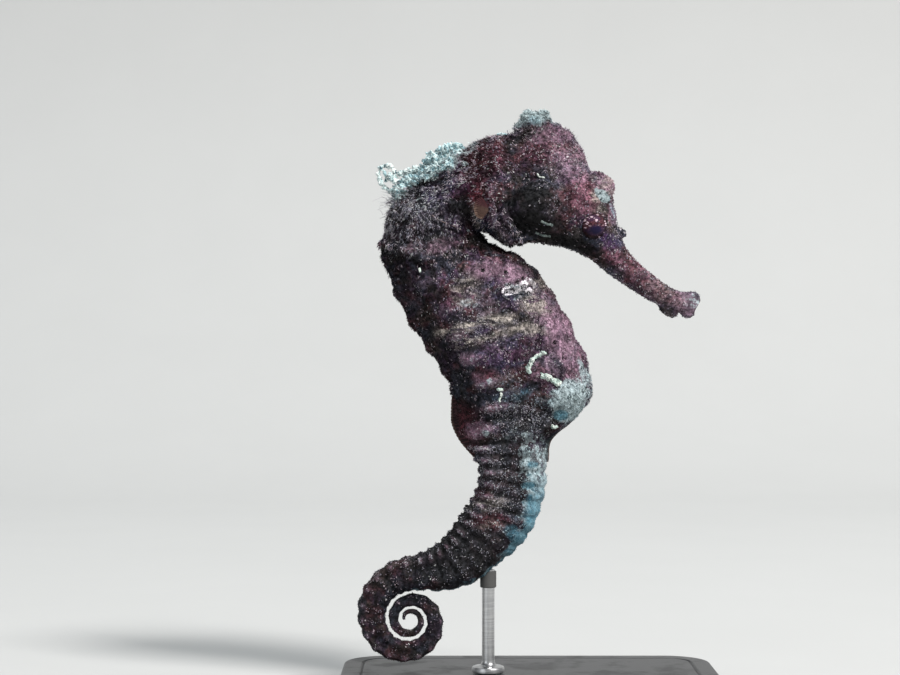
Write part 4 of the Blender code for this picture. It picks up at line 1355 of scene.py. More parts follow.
@dataclass(frozen=True)
class Flesh:
    """The animal's colours, and how its fine texture is laid."""

    plum: tuple = (0.045, 0.027, 0.050)
    maroon: tuple = (0.074, 0.027, 0.034)
    slate: tuple = (0.031, 0.038, 0.055)
    umber: tuple = (0.050, 0.040, 0.034)
    rose: tuple = (0.298, 0.186, 0.252)
    wine: tuple = (0.105, 0.024, 0.034)
    silt: tuple = (0.400, 0.480, 0.505)
    teal: tuple = (0.035, 0.070, 0.080)
    ochre: tuple = (0.400, 0.355, 0.320)
    # The near-black of the painted shade and of the pores
    shade: tuple = (0.004, 0.004, 0.004)
    ash: tuple = (0.030, 0.031, 0.035)
    indigo: tuple = (0.038, 0.022, 0.085)
    azure: tuple = (0.075, 0.215, 0.290)
    chalk: tuple = (0.760, 0.720, 0.760)
    pink_speck: tuple = (0.700, 0.560, 0.630)
    lilac_speck: tuple = (0.360, 0.330, 0.420)
    white_speck: tuple = (0.780, 0.800, 0.790)
    tan_speck: tuple = (0.620, 0.560, 0.480)
    mint_speck: tuple = (0.580, 0.720, 0.710)
    cool_speck: tuple = (0.330, 0.370, 0.430)
    azure_speck: tuple = (0.190, 0.400, 0.480)
    tip_lift: float = 0.7           # how much lighter a thread's tip is than its root

    def ground(self, graph: Graph, place: Wire) -> Wire:
        """Colour of the flesh without specks, with painted shade laid in.

        Args:
            graph: Material that the nodes go into.
            place: Coordinates in millimetres.

        Returns:
            The colour.
        """
        broad = graph.noise(place, 3.6, 3.0, out="Color")
        mottle = graph.noise(place, 1.3, 4.0, 0.62)
        grit = graph.noise(place, 0.40, 3.0, 0.70)
        streak = graph.noise(graph.place(stretch=(0.45, 0.45, 1.5)), 1.1, 3.0)
        silty = (graph.mark(Mark.SILT) * 1.6 - 0.7 * mottle.step(0.40, 0.60) - 0.2 * grit).step(0.1, 0.8)
        mud = graph.mix(graph.noise(place, 0.60, 3.0, 0.65).step(0.45, 0.36), self.silt, self.teal)
        beads = graph.cells(graph.moved(place, 0.6, 0.5), 0.62).step(0.72, 0.46)
        chalky = (graph.mark(Mark.CHALK) * 1.5 - 0.7 * grit).step(0.25, 0.55) * beads
        colour = graph.layers(
            self.plum,
            (graph.channel(broad, "Red").step(0.44, 0.58), self.maroon),
            (graph.channel(broad, "Green").step(0.45, 0.57) * 0.85, self.slate),
            (graph.channel(broad, "Blue").step(0.52, 0.62) * 0.7, self.umber),
            (mottle.step(0.52, 0.66) * 0.6, self.slate),
            (graph.mark(Mark.ASH) * 0.85, self.ash),
            (graph.mark(Mark.WINE) * 0.85, self.wine),
            (graph.mark(Mark.ROSE) * (0.40 + 0.60 * mottle.step(0.64, 0.42)), self.rose),
            (graph.mark(Mark.OCHRE) * streak.step(0.37, 0.55), self.ochre),
            (graph.mark(Mark.INDIGO) * 0.7, self.indigo),
            (silty * 0.92, mud),
            ((graph.mark(Mark.AZURE) - 0.5 * mottle).step(0.1, 0.7) * 0.8, self.azure),
            # Painted shade: the SHADE mark darkens the flesh to near-black in hollows, under the head and
            # behind the side ridge
            (graph.mark(Mark.SHADE) * 0.95, self.shade),
            (chalky, self.chalk))
        blot = graph.noise(place, 0.95, 2.0, 0.6)
        uneven = (0.18 + 1.65 * grit.step(0.30, 0.70)) * (0.40 + 1.2 * blot.step(0.3, 0.7))
        calm = graph.mark(Mark.ROSE) * 0.45 + graph.mark(Mark.SILT) * 0.60
        calm = (calm + graph.mark(Mark.AZURE) * 0.35).step(0.0, 1.0)
        return graph.mix(1.0, colour, uneven + (1.0 - uneven) * calm, "MULTIPLY")

    def tint(self, graph: Graph, hue: Wire) -> Wire:
        """Colour of pale specks and tufts, from lilac through pink to white, as the marks say.

        Args:
            graph: Material that the nodes go into.
            hue: A number from 0 to 1 for each speck.

        Returns:
            The colour.
        """
        return graph.layers(
            self.lilac_speck,
            (hue.step(0.20, 0.60), self.pink_speck),
            (graph.mark(Mark.ASH) * 0.65, self.cool_speck),
            (hue.step(0.70, 1.0), self.white_speck),
            (graph.mark(Mark.OCHRE) * 0.8, self.tan_speck),
            (graph.mark(Mark.SILT) * 0.85, self.mint_speck),
            (graph.mark(Mark.AZURE) * 0.85, self.azure_speck))

    def specked(self, graph: Graph, place: Wire, ground: Wire) -> tuple:
        """Pale specks over the ground colour, and how high they stand.

        Args:
            graph: Material that the nodes go into.
            place: Coordinates in millimetres.
            ground: The colour under the specks.

        Returns:
            The colour, and a height from 0 to 1.
        """
        bent = graph.moved(place, 0.35, 0.55)
        patchy = graph.noise(place, 1.5, 3.0).step(0.32, 0.68)
        # Fewer pale specks where the painted shade lies
        favour = (0.16 * graph.mark(Mark.GRIT) + 0.10 * graph.mark(Mark.SILT) + 0.36 * patchy
                  + 0.16 * graph.mark(Mark.OCHRE) - 0.24 * graph.mark(Mark.SHADE)
                  - 0.20 * graph.mark(Mark.ROSE) - 0.15)
        colour, height = ground, None
        for size, least, reach, strength in ((0.40, 0.74, 0.46, 0.60), (0.62, 0.93, 0.34, 0.70)):
            cell = graph.cells(bent, size, "Color")
            there = (graph.channel(cell) + favour).step(least, least + 0.05)
            dot = graph.cells(bent, size).step(reach, reach * 0.45) * there
            colour = graph.mix(dot * strength, colour, self.tint(graph, graph.channel(cell, "Green")))
            height = dot if height is None else height + dot
        return colour, height

    def skin(self) -> Finish:
        """The material of the one skin."""
        graph = Graph("flesh_skin")
        place = graph.place()
        colour, height = self.specked(graph, place, self.ground(graph, place))
        pore = graph.value("pores")
        # Painted shade: the sunk pores are painted near-black
        colour = graph.mix(pore.step(0.2, 0.7), colour, self.shade)
        grit = graph.noise(place, 0.30, 4.0, 0.7)
        crust = graph.cells(graph.moved(place, 0.5, 0.4), 0.42)
        relief = graph.relief(grit * 0.8 + height * 0.5 + crust * 0.5, 0.16, 0.9)
        roughness = 0.52 + 0.35 * grit
        return graph.finish(Base_Color=colour, Roughness=roughness, Normal=relief, Specular_IOR_Level=0.18)

    def coat(self, name: str, pale: float) -> Finish:
        """The material of threads or grains.

        Args:
            name: Name of the material.
            pale: Share of the tufts that are pale.

        Returns:
            The material.
        """
        graph = Graph(name)
        place = graph.place()
        tone, tip = graph.value("tone"), graph.value("tip")
        ground = self.ground(graph, place)
        ground = graph.mix(1.0, ground, (0.75 + self.tip_lift * tip) * (0.70 + 0.6 * tone), "MULTIPLY")
        patchy = graph.noise(place, 1.5, 3.0).step(0.32, 0.68)
        # Fewer pale tufts where the painted shade lies
        favour = (tone + 0.34 * graph.mark(Mark.GRIT) + 0.15 * graph.mark(Mark.SILT) + 0.52 * patchy
                  + 0.20 * graph.mark(Mark.OCHRE) - 0.38 * graph.mark(Mark.SHADE)
                  - 0.20 * graph.mark(Mark.ROSE) - 0.23)
        tint = self.tint(graph, graph.value("hue"))
        colour = graph.mix(favour.step(1.0 - pale, 1.12 - pale) * (0.42 + 0.55 * tip), ground, tint)
        return graph.finish(Base_Color=colour, Roughness=0.80, Specular_IOR_Level=0.10)


# Coat: threads and grains that stand on the skin


class Region(Enum):
    """Where a kind of coat grows."""

    HEAD = "head"
    NECK = "neck"
    TRUNK_RIGHT = "trunk_right"
    TRUNK_LEFT = "trunk_left"
    TAIL = "tail"
    SILTED = "silted"
    CREST = "crest"
    TANGLE = "tangle"
    FUZZ = "fuzz"
    RIDGE = "ridge"
    ALL = "all"


@dataclass(frozen=True)
class Growth:
    """One kind of coat: how many tufts, and the size and lie of their threads in mm."""

    name: str
    region: Region
    seed: int
    tufts: int
    threads: int
    length: tuple
    width: float
    upright: float
    spread: float
    joints: int = 1
    clumped: float = 0.55
    curl: float = 0.0
    pale: float = 0.16
    slot: str = "body_skin"
    lie: float = 0.75               # lean towards the tail
    pull: tuple = (0.0, 0.0, 0.0)   # a lean of its own


GROWTHS = (
    Growth("coat_head", Region.HEAD, 101, 11000, 3, (0.15, 0.40), 0.155, 0.62, 0.45, clumped=0.8,
            pale=0.18, slot="head_skin"),
    Growth("coat_neck", Region.NECK, 102, 10500, 3, (0.32, 0.74), 0.185, 0.32, 0.30, clumped=0.8,
            pale=0.23),
    Growth("coat_trunk_right", Region.TRUNK_RIGHT, 103, 14000, 3, (0.16, 0.38), 0.130, 0.62, 0.50,
            pale=0.18),
    Growth("coat_trunk_left", Region.TRUNK_LEFT, 104, 12000, 3, (0.16, 0.38), 0.130, 0.62, 0.50, pale=0.18),
    Growth("coat_tail", Region.TAIL, 105, 12000, 3, (0.16, 0.36), 0.120, 0.58, 0.45, pale=0.17,
            slot="tail_skin"),
    Growth("silt_threads", Region.SILTED, 106, 1800, 3, (0.25, 0.80), 0.190, 1.00, 1.05, 3, 0.9, 0.9, 0.45),
    Growth("crest_threads", Region.CREST, 108, 420, 2, (0.60, 2.20), 0.150, 1.10, 0.70, 5, 0.5, 1.3, 0.95,
            lie=0.10, pull=(-0.2, 0.0, 0.5)),
    Growth("crest_tangle", Region.TANGLE, 110, 30, 3, (0.80, 2.00), 0.120, 1.20, 0.60, 7, 0.6, 1.8, 1.00,
            lie=0.0, pull=(-0.2, 0.0, 0.7)),
    Growth("ridge_dashes", Region.RIDGE, 111, 300, 2, (0.30, 0.75), 0.170, 0.50, 0.30, 1, 0.85, 0.0, 0.92,
            "head_skin", 0.0, (0.25, 0.0, -0.9)),
    Growth("fuzz", Region.FUZZ, 109, 3200, 2, (0.30, 0.80), 0.045, 1.20, 0.70, 2, 0.5, 0.6, 0.60),
    Growth("silt_grains", Region.ALL, 107, 24000, 1, (0.12, 0.29), 0.16, 1.0, 1.0, 0, pale=0.42),
)


@dataclass
class Coat:
    """Grows threads and grains on the skin, with the skin's own marks."""

    skin: Skin
    flesh: Flesh
    sunk: float = 0.06
    patch: float = 0.0028           # width of a tuft's patch on the bake map
    bare_eye: float = 1.98
    tangle: tuple = (-22.3, -0.8, 79.9)
    clumps: tuple = ((-19.0, 1.3), (-16.6, 0.9), (-13.2, 1.5), (-10.6, 0.6))    # x and reach

    def build(self, growth: Growth) -> Thing:
        """Make one kind of coat.

        Args:
            growth: What grows, and where.

        Returns:
            The joined mesh of all its threads.
        """
        draw = np.random.default_rng(growth.seed)
        roots = draw.choice(len(self.skin.spots.points), growth.tufts, p=self.density(growth.region))
        normals = normals_of(self.skin.thing)[roots]
        each = np.repeat(np.arange(growth.tufts), growth.threads)
        aim, along = self.aim(growth, draw, roots, normals, each)
        shift = np.cross(aim, draw.normal(size=aim.shape)) * 0.09
        foot = self.skin.spots.points[roots][each] + shift - normals[each] * self.sunk
        reach = draw.uniform(*growth.length, size=len(each)) * self.shortening(roots)[each]
        if growth.joints:
            points, triangles, tips, spread = self.threads(growth, draw, foot, aim, along, reach)
        else:
            points, triangles, tips, spread = self.grains(draw, foot + aim * 0.10, reach)
        thing = mesh_from(growth.name, points, triangles)
        per_root = len(tips) // len(each)
        owner = np.repeat(each, per_root)
        self.write(thing, draw, roots, owner, tips, spread, triangles)
        thing.data.materials.append(self.flesh.coat(f"{growth.name}_fibre", growth.pale))
        return thing

    def density(self, region: Region) -> Array:
        """Chance of a tuft at each vertex of the skin.

        Args:
            region: Where the coat grows.

        Returns:
            The chances, which add up to 1.
        """
        spots, at = self.skin.spots, self.skin.track.length_at
        normals = normals_of(self.skin.thing)
        head = ramp(spots.length, at["gill_rear"] + 1, at["gill_rear"] - 2)
        tail = ramp(spots.length, at["rump"], at["vent"] + 1)
        ragged = spots.length + 3.0 * Grain(61).rough(spots.points, 2.6, 2)
        neck = (1 - head) * ramp(ragged, at["chest"] + 1.0, at["breast"] - 2.0)
        trunk = np.clip(1 - head - tail - neck, 0, 1)
        left = ramp(spots.points[:, 1], -0.3, 0.3)
        marks = self.skin.marks
        silt = marks[Mark.SILT.value]
        crown = ramp(spots.points[:, 2], 86.5, 90)
        band = ramp(spots.length, at["vent"], at["rump"])
        chances = {
            Region.HEAD: head * (1 + 0.5 * crown),
            Region.NECK: neck,
            Region.TRUNK_RIGHT: trunk * (1 - left),
            Region.TRUNK_LEFT: trunk * left,
            Region.TAIL: tail,
            Region.SILTED: band * silt**2 * ramp(normals[:, 2], 0.1, 0.6) * (spots.length > at["brow"])
            * (spots.points[:, 2] > 76) + 0.14 * crown,
            Region.FUZZ: (head * ramp(spots.length, at["brow"], at["forehead"]) + 0.5 * neck)
            * ramp(spots.around, 2.2, 0.8) + 0.5 * crown,
            Region.CREST: self.crests(),
            Region.TANGLE: hill(np.linalg.norm(spots.points - self.tangle, axis=1), 0.0, 0.9),
            Region.RIDGE: self.ridges(),
            Region.ALL: (0.25 + 0.5 * silt + 1.1 * marks[Mark.GRIT.value] + 0.3 * crown
                         - 0.2 * marks[Mark.SHADE.value]),
        }
        eye = np.hypot(spots.points[:, 0] - self.skin.eye[0], spots.points[:, 2] - self.skin.eye[2])
        bare = ((eye < self.bare_eye) & (np.abs(spots.points[:, 1]) > 1.2)) | (spots.length < 0.35)
        weight = np.maximum(chances[region], 0) * ~bare
        return weight / weight.sum()

    def crests(self) -> Array:
        """Chance of the long silty threads on the hump's crest, in clumps."""
        spots, at = self.skin.spots, self.skin.track.length_at
        length = spots.length
        hump = ramp(length, at["gill_rear"] + 2, at["nape"] + 1) * ramp(length, at["collar"], at["shoulder"])
        in_clump = sum(hill(spots.points[:, 0], x, reach) for x, reach in self.clumps)
        return hump * ramp(spots.around, 1.7, 0.9) * (0.25 + in_clump)

    def ridges(self) -> Array:
        """Chance of the pale dashes that hang along the gill's ridges and on the neck."""
        spots = self.skin.spots
        seen = spots.seen
        near = sum(hill(way_off(seen, path), 0.0, width) for path, width in zip(GILL_RIDGES, (0.75, 0.50)))
        neck = np.hypot(seen[:, 0] + 8.4, seen[:, 1] - 82.4)
        return (near + 0.30 * hill(neck, 0.0, 1.9)) * ramp(np.abs(spots.points[:, 1]), 0.6, 1.8)

    def shortening(self, roots: Array) -> Array:
        """How much shorter threads are on the snout, and towards the tail's tip."""
        spots, at = self.skin.spots, self.skin.track.length_at
        marks = [0, at["snout_rear"], at["brow"], at["crown"], at["vent"], at["tail_i"], self.skin.track.end]
        crown = ramp(spots.points[:, 2], 87.5, 89.5)
        band = ramp(spots.length, at["vent"], at["tail_a"]) * ramp(spots.around, 6.0, 7.0)
        along = np.interp(spots.length, marks, [0.55, 0.65, 0.8, 1.0, 1.0, 0.75, 0.35])
        return (along * (1 - 0.4 * crown) * (1 - 0.6 * band))[roots]

    def aim(self, growth: Growth, draw: np.random.Generator, roots: Array, normals: Array,
            each: Array) -> tuple:
        """Directions of all threads.

        Args:
            growth: The kind of coat.
            draw: Source of random numbers.
            roots: The vertex that each tuft stands on.
            normals: Outward direction at each root.
            each: The tuft that each thread belongs to.

        Returns:
            Direction of each thread, and the direction to the tail at its root.
        """
        lean = np.radians(self.skin.track.read(self.skin.spots.length[roots])[:, 2]) + math.pi / 2
        along = np.stack((np.cos(lean), np.zeros(len(lean)), np.sin(lean)), axis=1)
        tuft = draw.normal(size=(growth.tufts, 3)) * growth.spread * growth.clumped
        single = draw.normal(size=(len(each), 3)) * growth.spread * (1 - growth.clumped)
        aim = normals[each] * growth.upright + along[each] * growth.lie + tuft[each] + single
        aim += np.array(growth.pull)
        inwards = np.minimum((aim * normals[each]).sum(axis=1), 0.15) - 0.15
        aim -= normals[each] * inwards[:, None]
        return aim / np.linalg.norm(aim, axis=1)[:, None], along[each]

    @staticmethod
    def threads(growth: Growth, draw: np.random.Generator, foot: Array, aim: Array,
                along: Array, reach: Array) -> tuple:
        """Closed three-sided threads, each narrowing to a tip.

        Args:
            growth: The kind of coat.
            draw: Source of random numbers.
            foot: Where each thread starts.
            aim: Its direction.
            along: Direction to the tail at its root.
            reach: Its length.

        Returns:
            Points, triangles, share of the way to the tip, and place across the patch.
        """
        joints, count = growth.joints, len(foot)
        helper = np.cross(aim, draw.normal(size=aim.shape))
        first = helper / np.linalg.norm(helper, axis=1)[:, None]
        second = np.cross(aim, first)
        sag = along * 0.2 - np.array((0, 0, 0.10))
        walk = np.cumsum(draw.normal(size=(joints + 1, count, 3)) * 0.55 + sag, axis=0)
        rows, tips, spread = [], [], []
        for joint in range(joints):
            share = joint / joints
            drift = walk[joint] * (growth.curl * reach / joints)[:, None] * (joint > 0)
            centre = foot + aim * (reach * share)[:, None] + drift
            radius = growth.width / 2 * (1 - 0.6 * share)
            for corner in range(3):
                turn = 2 * math.pi * corner / 3 + 0.6 * joint
                rows.append(centre + radius * (first * math.cos(turn) + second * math.sin(turn)))
                tips.append(share)
                spread.append(corner / 3)
        rows.append(foot + aim * reach[:, None] + walk[joints] * (growth.curl * reach / joints)[:, None])
        tips.append(1.0)
        spread.append(0.5)
        faces = [(0, 2, 1)]
        for joint in range(joints - 1):
            low, high = 3 * joint, 3 * joint + 3
            for corner in range(3):
                after = (corner + 1) % 3
                faces.append((low + corner, low + after, high + after))
                faces.append((low + corner, high + after, high + corner))
        last = 3 * (joints - 1)
        faces += [(last + corner, last + (corner + 1) % 3, last + 3) for corner in range(3)]
        size = len(rows)
        points = np.stack(rows, axis=1).reshape(-1, 3)
        triangles = (np.array(faces)[None] + (np.arange(count) * size)[:, None, None]).reshape(-1, 3)
        return points, triangles, np.tile(tips, count), np.tile(spread, count)

    @staticmethod
    def grains(draw: np.random.Generator, centre: Array, reach: Array) -> tuple:
        """Small eight-sided grains, each stretched and turned its own way.

        Args:
            draw: Source of random numbers.
            centre: Middle of each grain.
            reach: Its size.

        Returns:
            Points, triangles, height in the grain, and place across the patch.
        """
        count = len(centre)
        basis, _ = np.linalg.qr(draw.normal(size=(count, 3, 3)))
        basis *= np.linalg.det(basis)[:, None, None]
        stretch = draw.uniform(0.5, 1.25, size=(count, 3)) * reach[:, None] / 2
        corners = np.array(((1, 0, 0), (0, 1, 0), (-1, 0, 0), (0, -1, 0), (0, 0, 1), (0, 0, -1)), float)
        local = corners[None] * stretch[:, None, :]
        points = centre[:, None] + np.einsum("nij,nkj->nki", basis, local)
        faces = [(i, (i + 1) % 4, 4) for i in range(4)] + [((i + 1) % 4, i, 5) for i in range(4)]
        triangles = (np.array(faces)[None] + (np.arange(count) * 6)[:, None, None]).reshape(-1, 3)
        tips = np.tile((0.5, 0.5, 0.5, 0.5, 1.0, 0.0), count)
        spread = np.tile((0.0, 0.33, 0.66, 1.0, 0.5, 0.5), count)
        return points.reshape(-1, 3), triangles, tips, spread

    def write(self, thing: Thing, draw: np.random.Generator, roots: Array, owner: Array,
              tips: Array, spread: Array, triangles: Array) -> None:
        """Store each tuft's marks, tone and patch of the bake map.

        Args:
            thing: The joined mesh.
            draw: Source of random numbers.
            roots: The vertex that each tuft stands on.
            owner: The tuft that each point belongs to.
            tips: Share of the way to the thread's tip.
            spread: Place across the patch.
            triangles: Rows of three vertex numbers.
        """
        mesh = thing.data
        for mark in Mark:
            write_values(mesh, mark.value, self.skin.marks[mark.value][roots][owner])
        write_values(mesh, "tone", draw.random(len(roots))[owner])
        write_values(mesh, "hue", draw.random(len(roots))[owner])
        write_values(mesh, "tip", tips)
        spots = self.skin.spots.take(roots)
        side = np.where(spots.points[:, 1] > 0, 1, -1)
        rear = spots.length > self.skin.track.length_at["vent"]
        at_root = self.skin.unwrap(spots, side, rear)[owner]
        offset = (np.stack((tips, spread), axis=1) - 0.5) * self.patch
        write_map(mesh, (at_root + offset)[triangles.ravel()])


# Eyes


@dataclass
class Eye:
    """An eyeball with its iris and pupil, turned a little down and forwards."""

    centre: tuple = EYE_CENTRE
    radius: float = EYE_RADIUS
    gaze: tuple = (10.05, 72.85)
    pupil: float = 0.52
    iris: float = 0.85
    oval: float = 0.60              # the iris's width, squeezed to a circle's
    bulge: float = 0.10

    def build(self, name: str, side: int) -> Thing:
        """One eyeball: a ball with its pole on the side, its clear front a little raised.

        Args:
            name: Which side it is on.
            side: -1 for the right side, 1 for the left.

        Returns:
            The finished ball.
        """
        deselect()
        bpy.ops.mesh.primitive_uv_sphere_add(
            segments=72, ring_count=48, radius=self.radius * MM,
            location=Vector((self.centre[0], side * self.centre[1], self.centre[2])) * MM,
            rotation=(math.radians(90), 0, 0))
        ball = settle(newest(f"eyeball_{name}"))
        points = points_of(ball)
        middle = np.array((self.centre[0], side * self.centre[1], self.centre[2]))
        away = np.hypot((points[:, 0] - self.gaze[0]) * self.oval, points[:, 2] - self.gaze[1])
        front = (points[:, 1] - middle[1]) * side > 0
        rise = self.bulge * ramp(away, self.iris + 0.1, 0.2) - 0.05 * hill(away, self.iris + 0.12, 0.14)
        direction = (points - middle) / self.radius
        put_points(ball, points + direction * (rise * front)[:, None])
        smooth_shaded(ball)
        ball.data.materials.append(self.finish(name))
        return ball

    def finish(self, name: str) -> Finish:
        """Fleshy ball with pale dashes that point at the pupil, and a dark soft-edged pupil, with light and
        shade painted on the ball: lighter above, darker at the rim.
        """
        graph = Graph(f"eye_{name}_finish")
        flat = graph.place((self.gaze[0], 0.0, self.gaze[1]), (self.oval, 0.0, 1.0))
        away = graph.node("ShaderNodeVectorMath", {"operation": "LENGTH"}, {0: flat}, out="Value")
        across = graph.node("ShaderNodeSeparateXYZ", {}, {0: flat}, out="X")
        high = graph.node("ShaderNodeSeparateXYZ", {}, {0: flat}, out="Z")
        bearing = graph.node("ShaderNodeMath", {"operation": "ARCTAN2"}, {0: high, 1: across})
        place = graph.place()
        grit = graph.noise(place, 0.30, 4.0, 0.7)
        # Painted light and shade: the ball is painted lighter towards its top, where the light falls, and
        # darker at its rim; pale dashes are chosen more often towards the top
        lit = high.step(-0.7, 1.1)
        level = graph.place((self.centre[0], 0.0, self.centre[2]), (1.0, 0.0, 1.0))
        off = graph.node("ShaderNodeVectorMath", {"operation": "LENGTH"}, {0: level}, out="Value")
        rim = off.step(1.35, 1.95)
        ball = graph.mix(grit.step(0.40, 0.62), (0.020, 0.009, 0.012), (0.110, 0.036, 0.048))
        ball = graph.mix(graph.noise(place, 1.2, 2.0).step(0.48, 0.60) * 0.6, ball, (0.030, 0.014, 0.050))
        ball = graph.mix(1.0, ball, (0.35 + 0.65 * lit) * (1.0 - 0.55 * rim), "MULTIPLY")
        polar = graph.node("ShaderNodeCombineXYZ", {}, {0: bearing * 1.25, 1: away * 0.62, 2: 3.0})
        polar = graph.moved(polar, 0.5, 0.25)
        chosen = (graph.channel(graph.cells(polar, 0.26, "Color")) + 0.30 * lit).step(0.62, 0.68)
        dash = graph.cells(polar, 0.26).step(0.50, 0.26) * chosen * away.step(0.60, 0.95)
        ball = graph.mix(dash * 0.9, ball, (0.640, 0.470, 0.540))
        iris = graph.mix(grit.step(0.35, 0.65), (0.010, 0.006, 0.022), (0.048, 0.022, 0.052))
        colour = graph.mix((away + 0.5 * grit).step(self.iris + 0.40, self.iris), ball, iris)
        inside = (away + 0.4 * grit).step(self.pupil + 0.36, self.pupil + 0.04)
        colour = graph.mix(inside, colour, (0.008, 0.005, 0.030))
        clear = away.step(self.iris, self.iris - 0.40)
        relief = graph.relief((grit + dash * 0.5) * (1 - clear), 0.10, 0.8)
        return graph.finish(
            Base_Color=colour, Roughness=0.70 - 0.25 * clear, Coat_Weight=0.02 + 0.06 * clear,
            Coat_Roughness=0.20, Specular_IOR_Level=0.12, Normal=relief)


# Fins


@dataclass(frozen=True)
class FinFinish:
    """A thin, rayed membrane."""

    name: str
    ray: tuple
    web: tuple
    edge: tuple = (0.110, 0.070, 0.058)
    head: tuple = None              # colour of its first part, where that differs

    def material(self) -> Finish:
        """Rays lighter than the web between them, and a pale worn edge."""
        graph = Graph(self.name)
        ray, rise = graph.value("ray"), graph.value("rise")
        grit = graph.noise(graph.place(), 0.30, 3.0, 0.65)
        colour = graph.mix((ray + 0.4 * grit).step(0.55, 0.95), self.web, self.ray)
        colour = graph.mix((rise + 0.3 * grit).step(0.90, 1.12) * 0.8, colour, self.edge)
        if self.head:
            colour = graph.mix((graph.value("along") + 0.3 * grit).step(0.70, 0.35), colour, self.head)
        colour = graph.mix(1.0, colour, 0.10 + 1.8 * grit, "MULTIPLY")
        relief = graph.relief(ray + 0.5 * grit, 0.04, 0.5)
        return graph.finish(
            Base_Color=colour, Roughness=0.62 + 0.2 * grit, Specular_IOR_Level=0.2, Normal=relief,
            Alpha=0.97)


@dataclass
class Fin:
    """The rayed fins, each a grid laid on its own surface and given a thickness."""

    track: Track
    thickness: float = 0.16
    steps: tuple = (150, 12)

    def membrane(self, name: str, rays: int, lay, finish: FinFinish) -> Thing:
        """A thin sheet with rays.

        Args:
            name: Name of the piece.
            rays: How many rays it has.
            lay: Function of share along and share outwards that gives points.
            finish: Its finish.

        Returns:
            The finished fin.
        """
        deselect()
        bpy.ops.mesh.primitive_grid_add(x_subdivisions=self.steps[0], y_subdivisions=self.steps[1], size=2.0)
        fin = newest(name)
        shares = points_of(fin) * MM / 2 + 0.5
        ray = 0.5 + 0.5 * np.cos(2 * math.pi * rays * shares[:, 0])
        put_points(fin, lay(shares[:, 0], shares[:, 1]))
        write_values(fin.data, "ray", ray**2)
        write_values(fin.data, "rise", shares[:, 1])
        write_values(fin.data, "along", shares[:, 0])
        apply(fin, "SOLIDIFY", thickness=self.thickness * MM, offset=0.0)
        in_edit_mode(fin, face_outwards)
        smooth_shaded(fin, 50)
        fin.data.materials.append(finish.material())
        return fin

    def upright(self, name: str, start: str, stop: str, rise: float, facing: int, rays: int,
                ray: tuple, web: tuple) -> Thing:
        """A low fin along the back or the belly.

        Args:
            name: Name of the piece.
            start: Station where it starts.
            stop: Station where it ends.
            rise: Height of its free edge.
            facing: 1 on the back, -1 on the belly.
            rays: How many rays it has.
            ray: Colour of its rays.
            web: Colour between them.

        Returns:
            The finished fin.
        """
        first, last = self.track.length_at[start], self.track.length_at[stop]

        def lay(share: Array, out: Array) -> Array:
            """Lay the sheet on the mid-line of the back or belly."""
            slanted = share + 0.05 * out * np.sin(math.pi * share)
            length = first + (last - first) * slanted
            pleat = np.cos(2 * math.pi * rays * share)
            top = rise * np.sin(math.pi * np.clip(share, 0.02, 0.98)) ** 0.6 * (1 + 0.05 * pleat)
            half = self.track.read(length)[:, 3] / 2
            up = facing * (half - 0.9 + out * (0.9 + top))
            return self.track.place(length, up, 0.09 * pleat * out + 0.10 * np.sin(9 * share) * out)

        finish = FinFinish(f"{name}_membrane", ray, web)
        return self.membrane(name, rays, lay, finish)

    def pectoral(self, name: str, side: int) -> Thing:
        """The small fan behind a gill cover, its free edge lifted off the body.

        Args:
            name: Name of the piece.
            side: -1 for the right side, 1 for the left.

        Returns:
            The finished fin.
        """
        root, reach = np.array((-6.4, side * 5.62, 76.2)), 2.7
        spread, lift = math.radians(104), math.radians(14)
        rays = 15

        def lay(share: Array, out: Array) -> Array:
            """Lay the sheet as a pleated fan that opens to the rear."""
            bearing = math.pi + (share - 0.5) * spread
            ray = np.cos(2 * math.pi * rays * share)
            rounded = 1 - 0.28 * np.abs(2 * share - 1) ** 4
            radius = 0.35 + (reach - 0.45) * out * (1 + 0.025 * ray) * rounded
            away = radius * np.sin(lift) + 0.07 * ray * out + 0.15 * np.sin(5 * share + 1) * out
            x = root[0] + radius * np.cos(bearing) * math.cos(lift)
            z = root[2] + radius * np.sin(bearing)
            return np.stack((x, root[1] + side * away, z), axis=1)

        # The fin's own brown, painted darker as the shade where it lies folded against the neck behind the
        # gill cover
        finish = FinFinish(f"{name}_membrane", (0.056, 0.030, 0.023), (0.030, 0.016, 0.012),
                           (0.150, 0.096, 0.076), (0.050, 0.014, 0.018))
        return self.membrane(name, rays, lay, finish)


# What has settled on the skin: worm tubes and streaks of chalk


class Settled(Enum):
    """What a crust is made of, or chalk in painted shade: its light colour, its other colour and its gaps'
    colour.
    """

    CHALK = ((0.480, 0.600, 0.550), (0.700, 0.740, 0.690), (0.120, 0.150, 0.140))
    SILT = ((0.330, 0.500, 0.540), (0.640, 0.760, 0.760), (0.020, 0.060, 0.085))
    FLUFF = ((0.520, 0.640, 0.640), (0.800, 0.860, 0.840), (0.060, 0.120, 0.140))
    # Chalk painted about a quarter as bright, as painted shade, for the streaks that lie in the gill cover's
    # shade
    DULL = ((0.130, 0.165, 0.160), (0.190, 0.220, 0.210), (0.040, 0.050, 0.050))
    HAIR = ((0.240, 0.170, 0.160), (0.300, 0.230, 0.210), (0.080, 0.060, 0.060))


@dataclass(frozen=True)
class Crust:
    """A crusted tube or streak.

    Its path is x and z on the right flank, x and y from above, or x, y and z where it stands free.
    """

    name: str
    path: tuple
    radius: float
    rough: float
    kind: Settled = Settled.CHALK
    above: bool = False
    lift: float = 0.45          # how far its middle stands off the skin, as a share of its radius


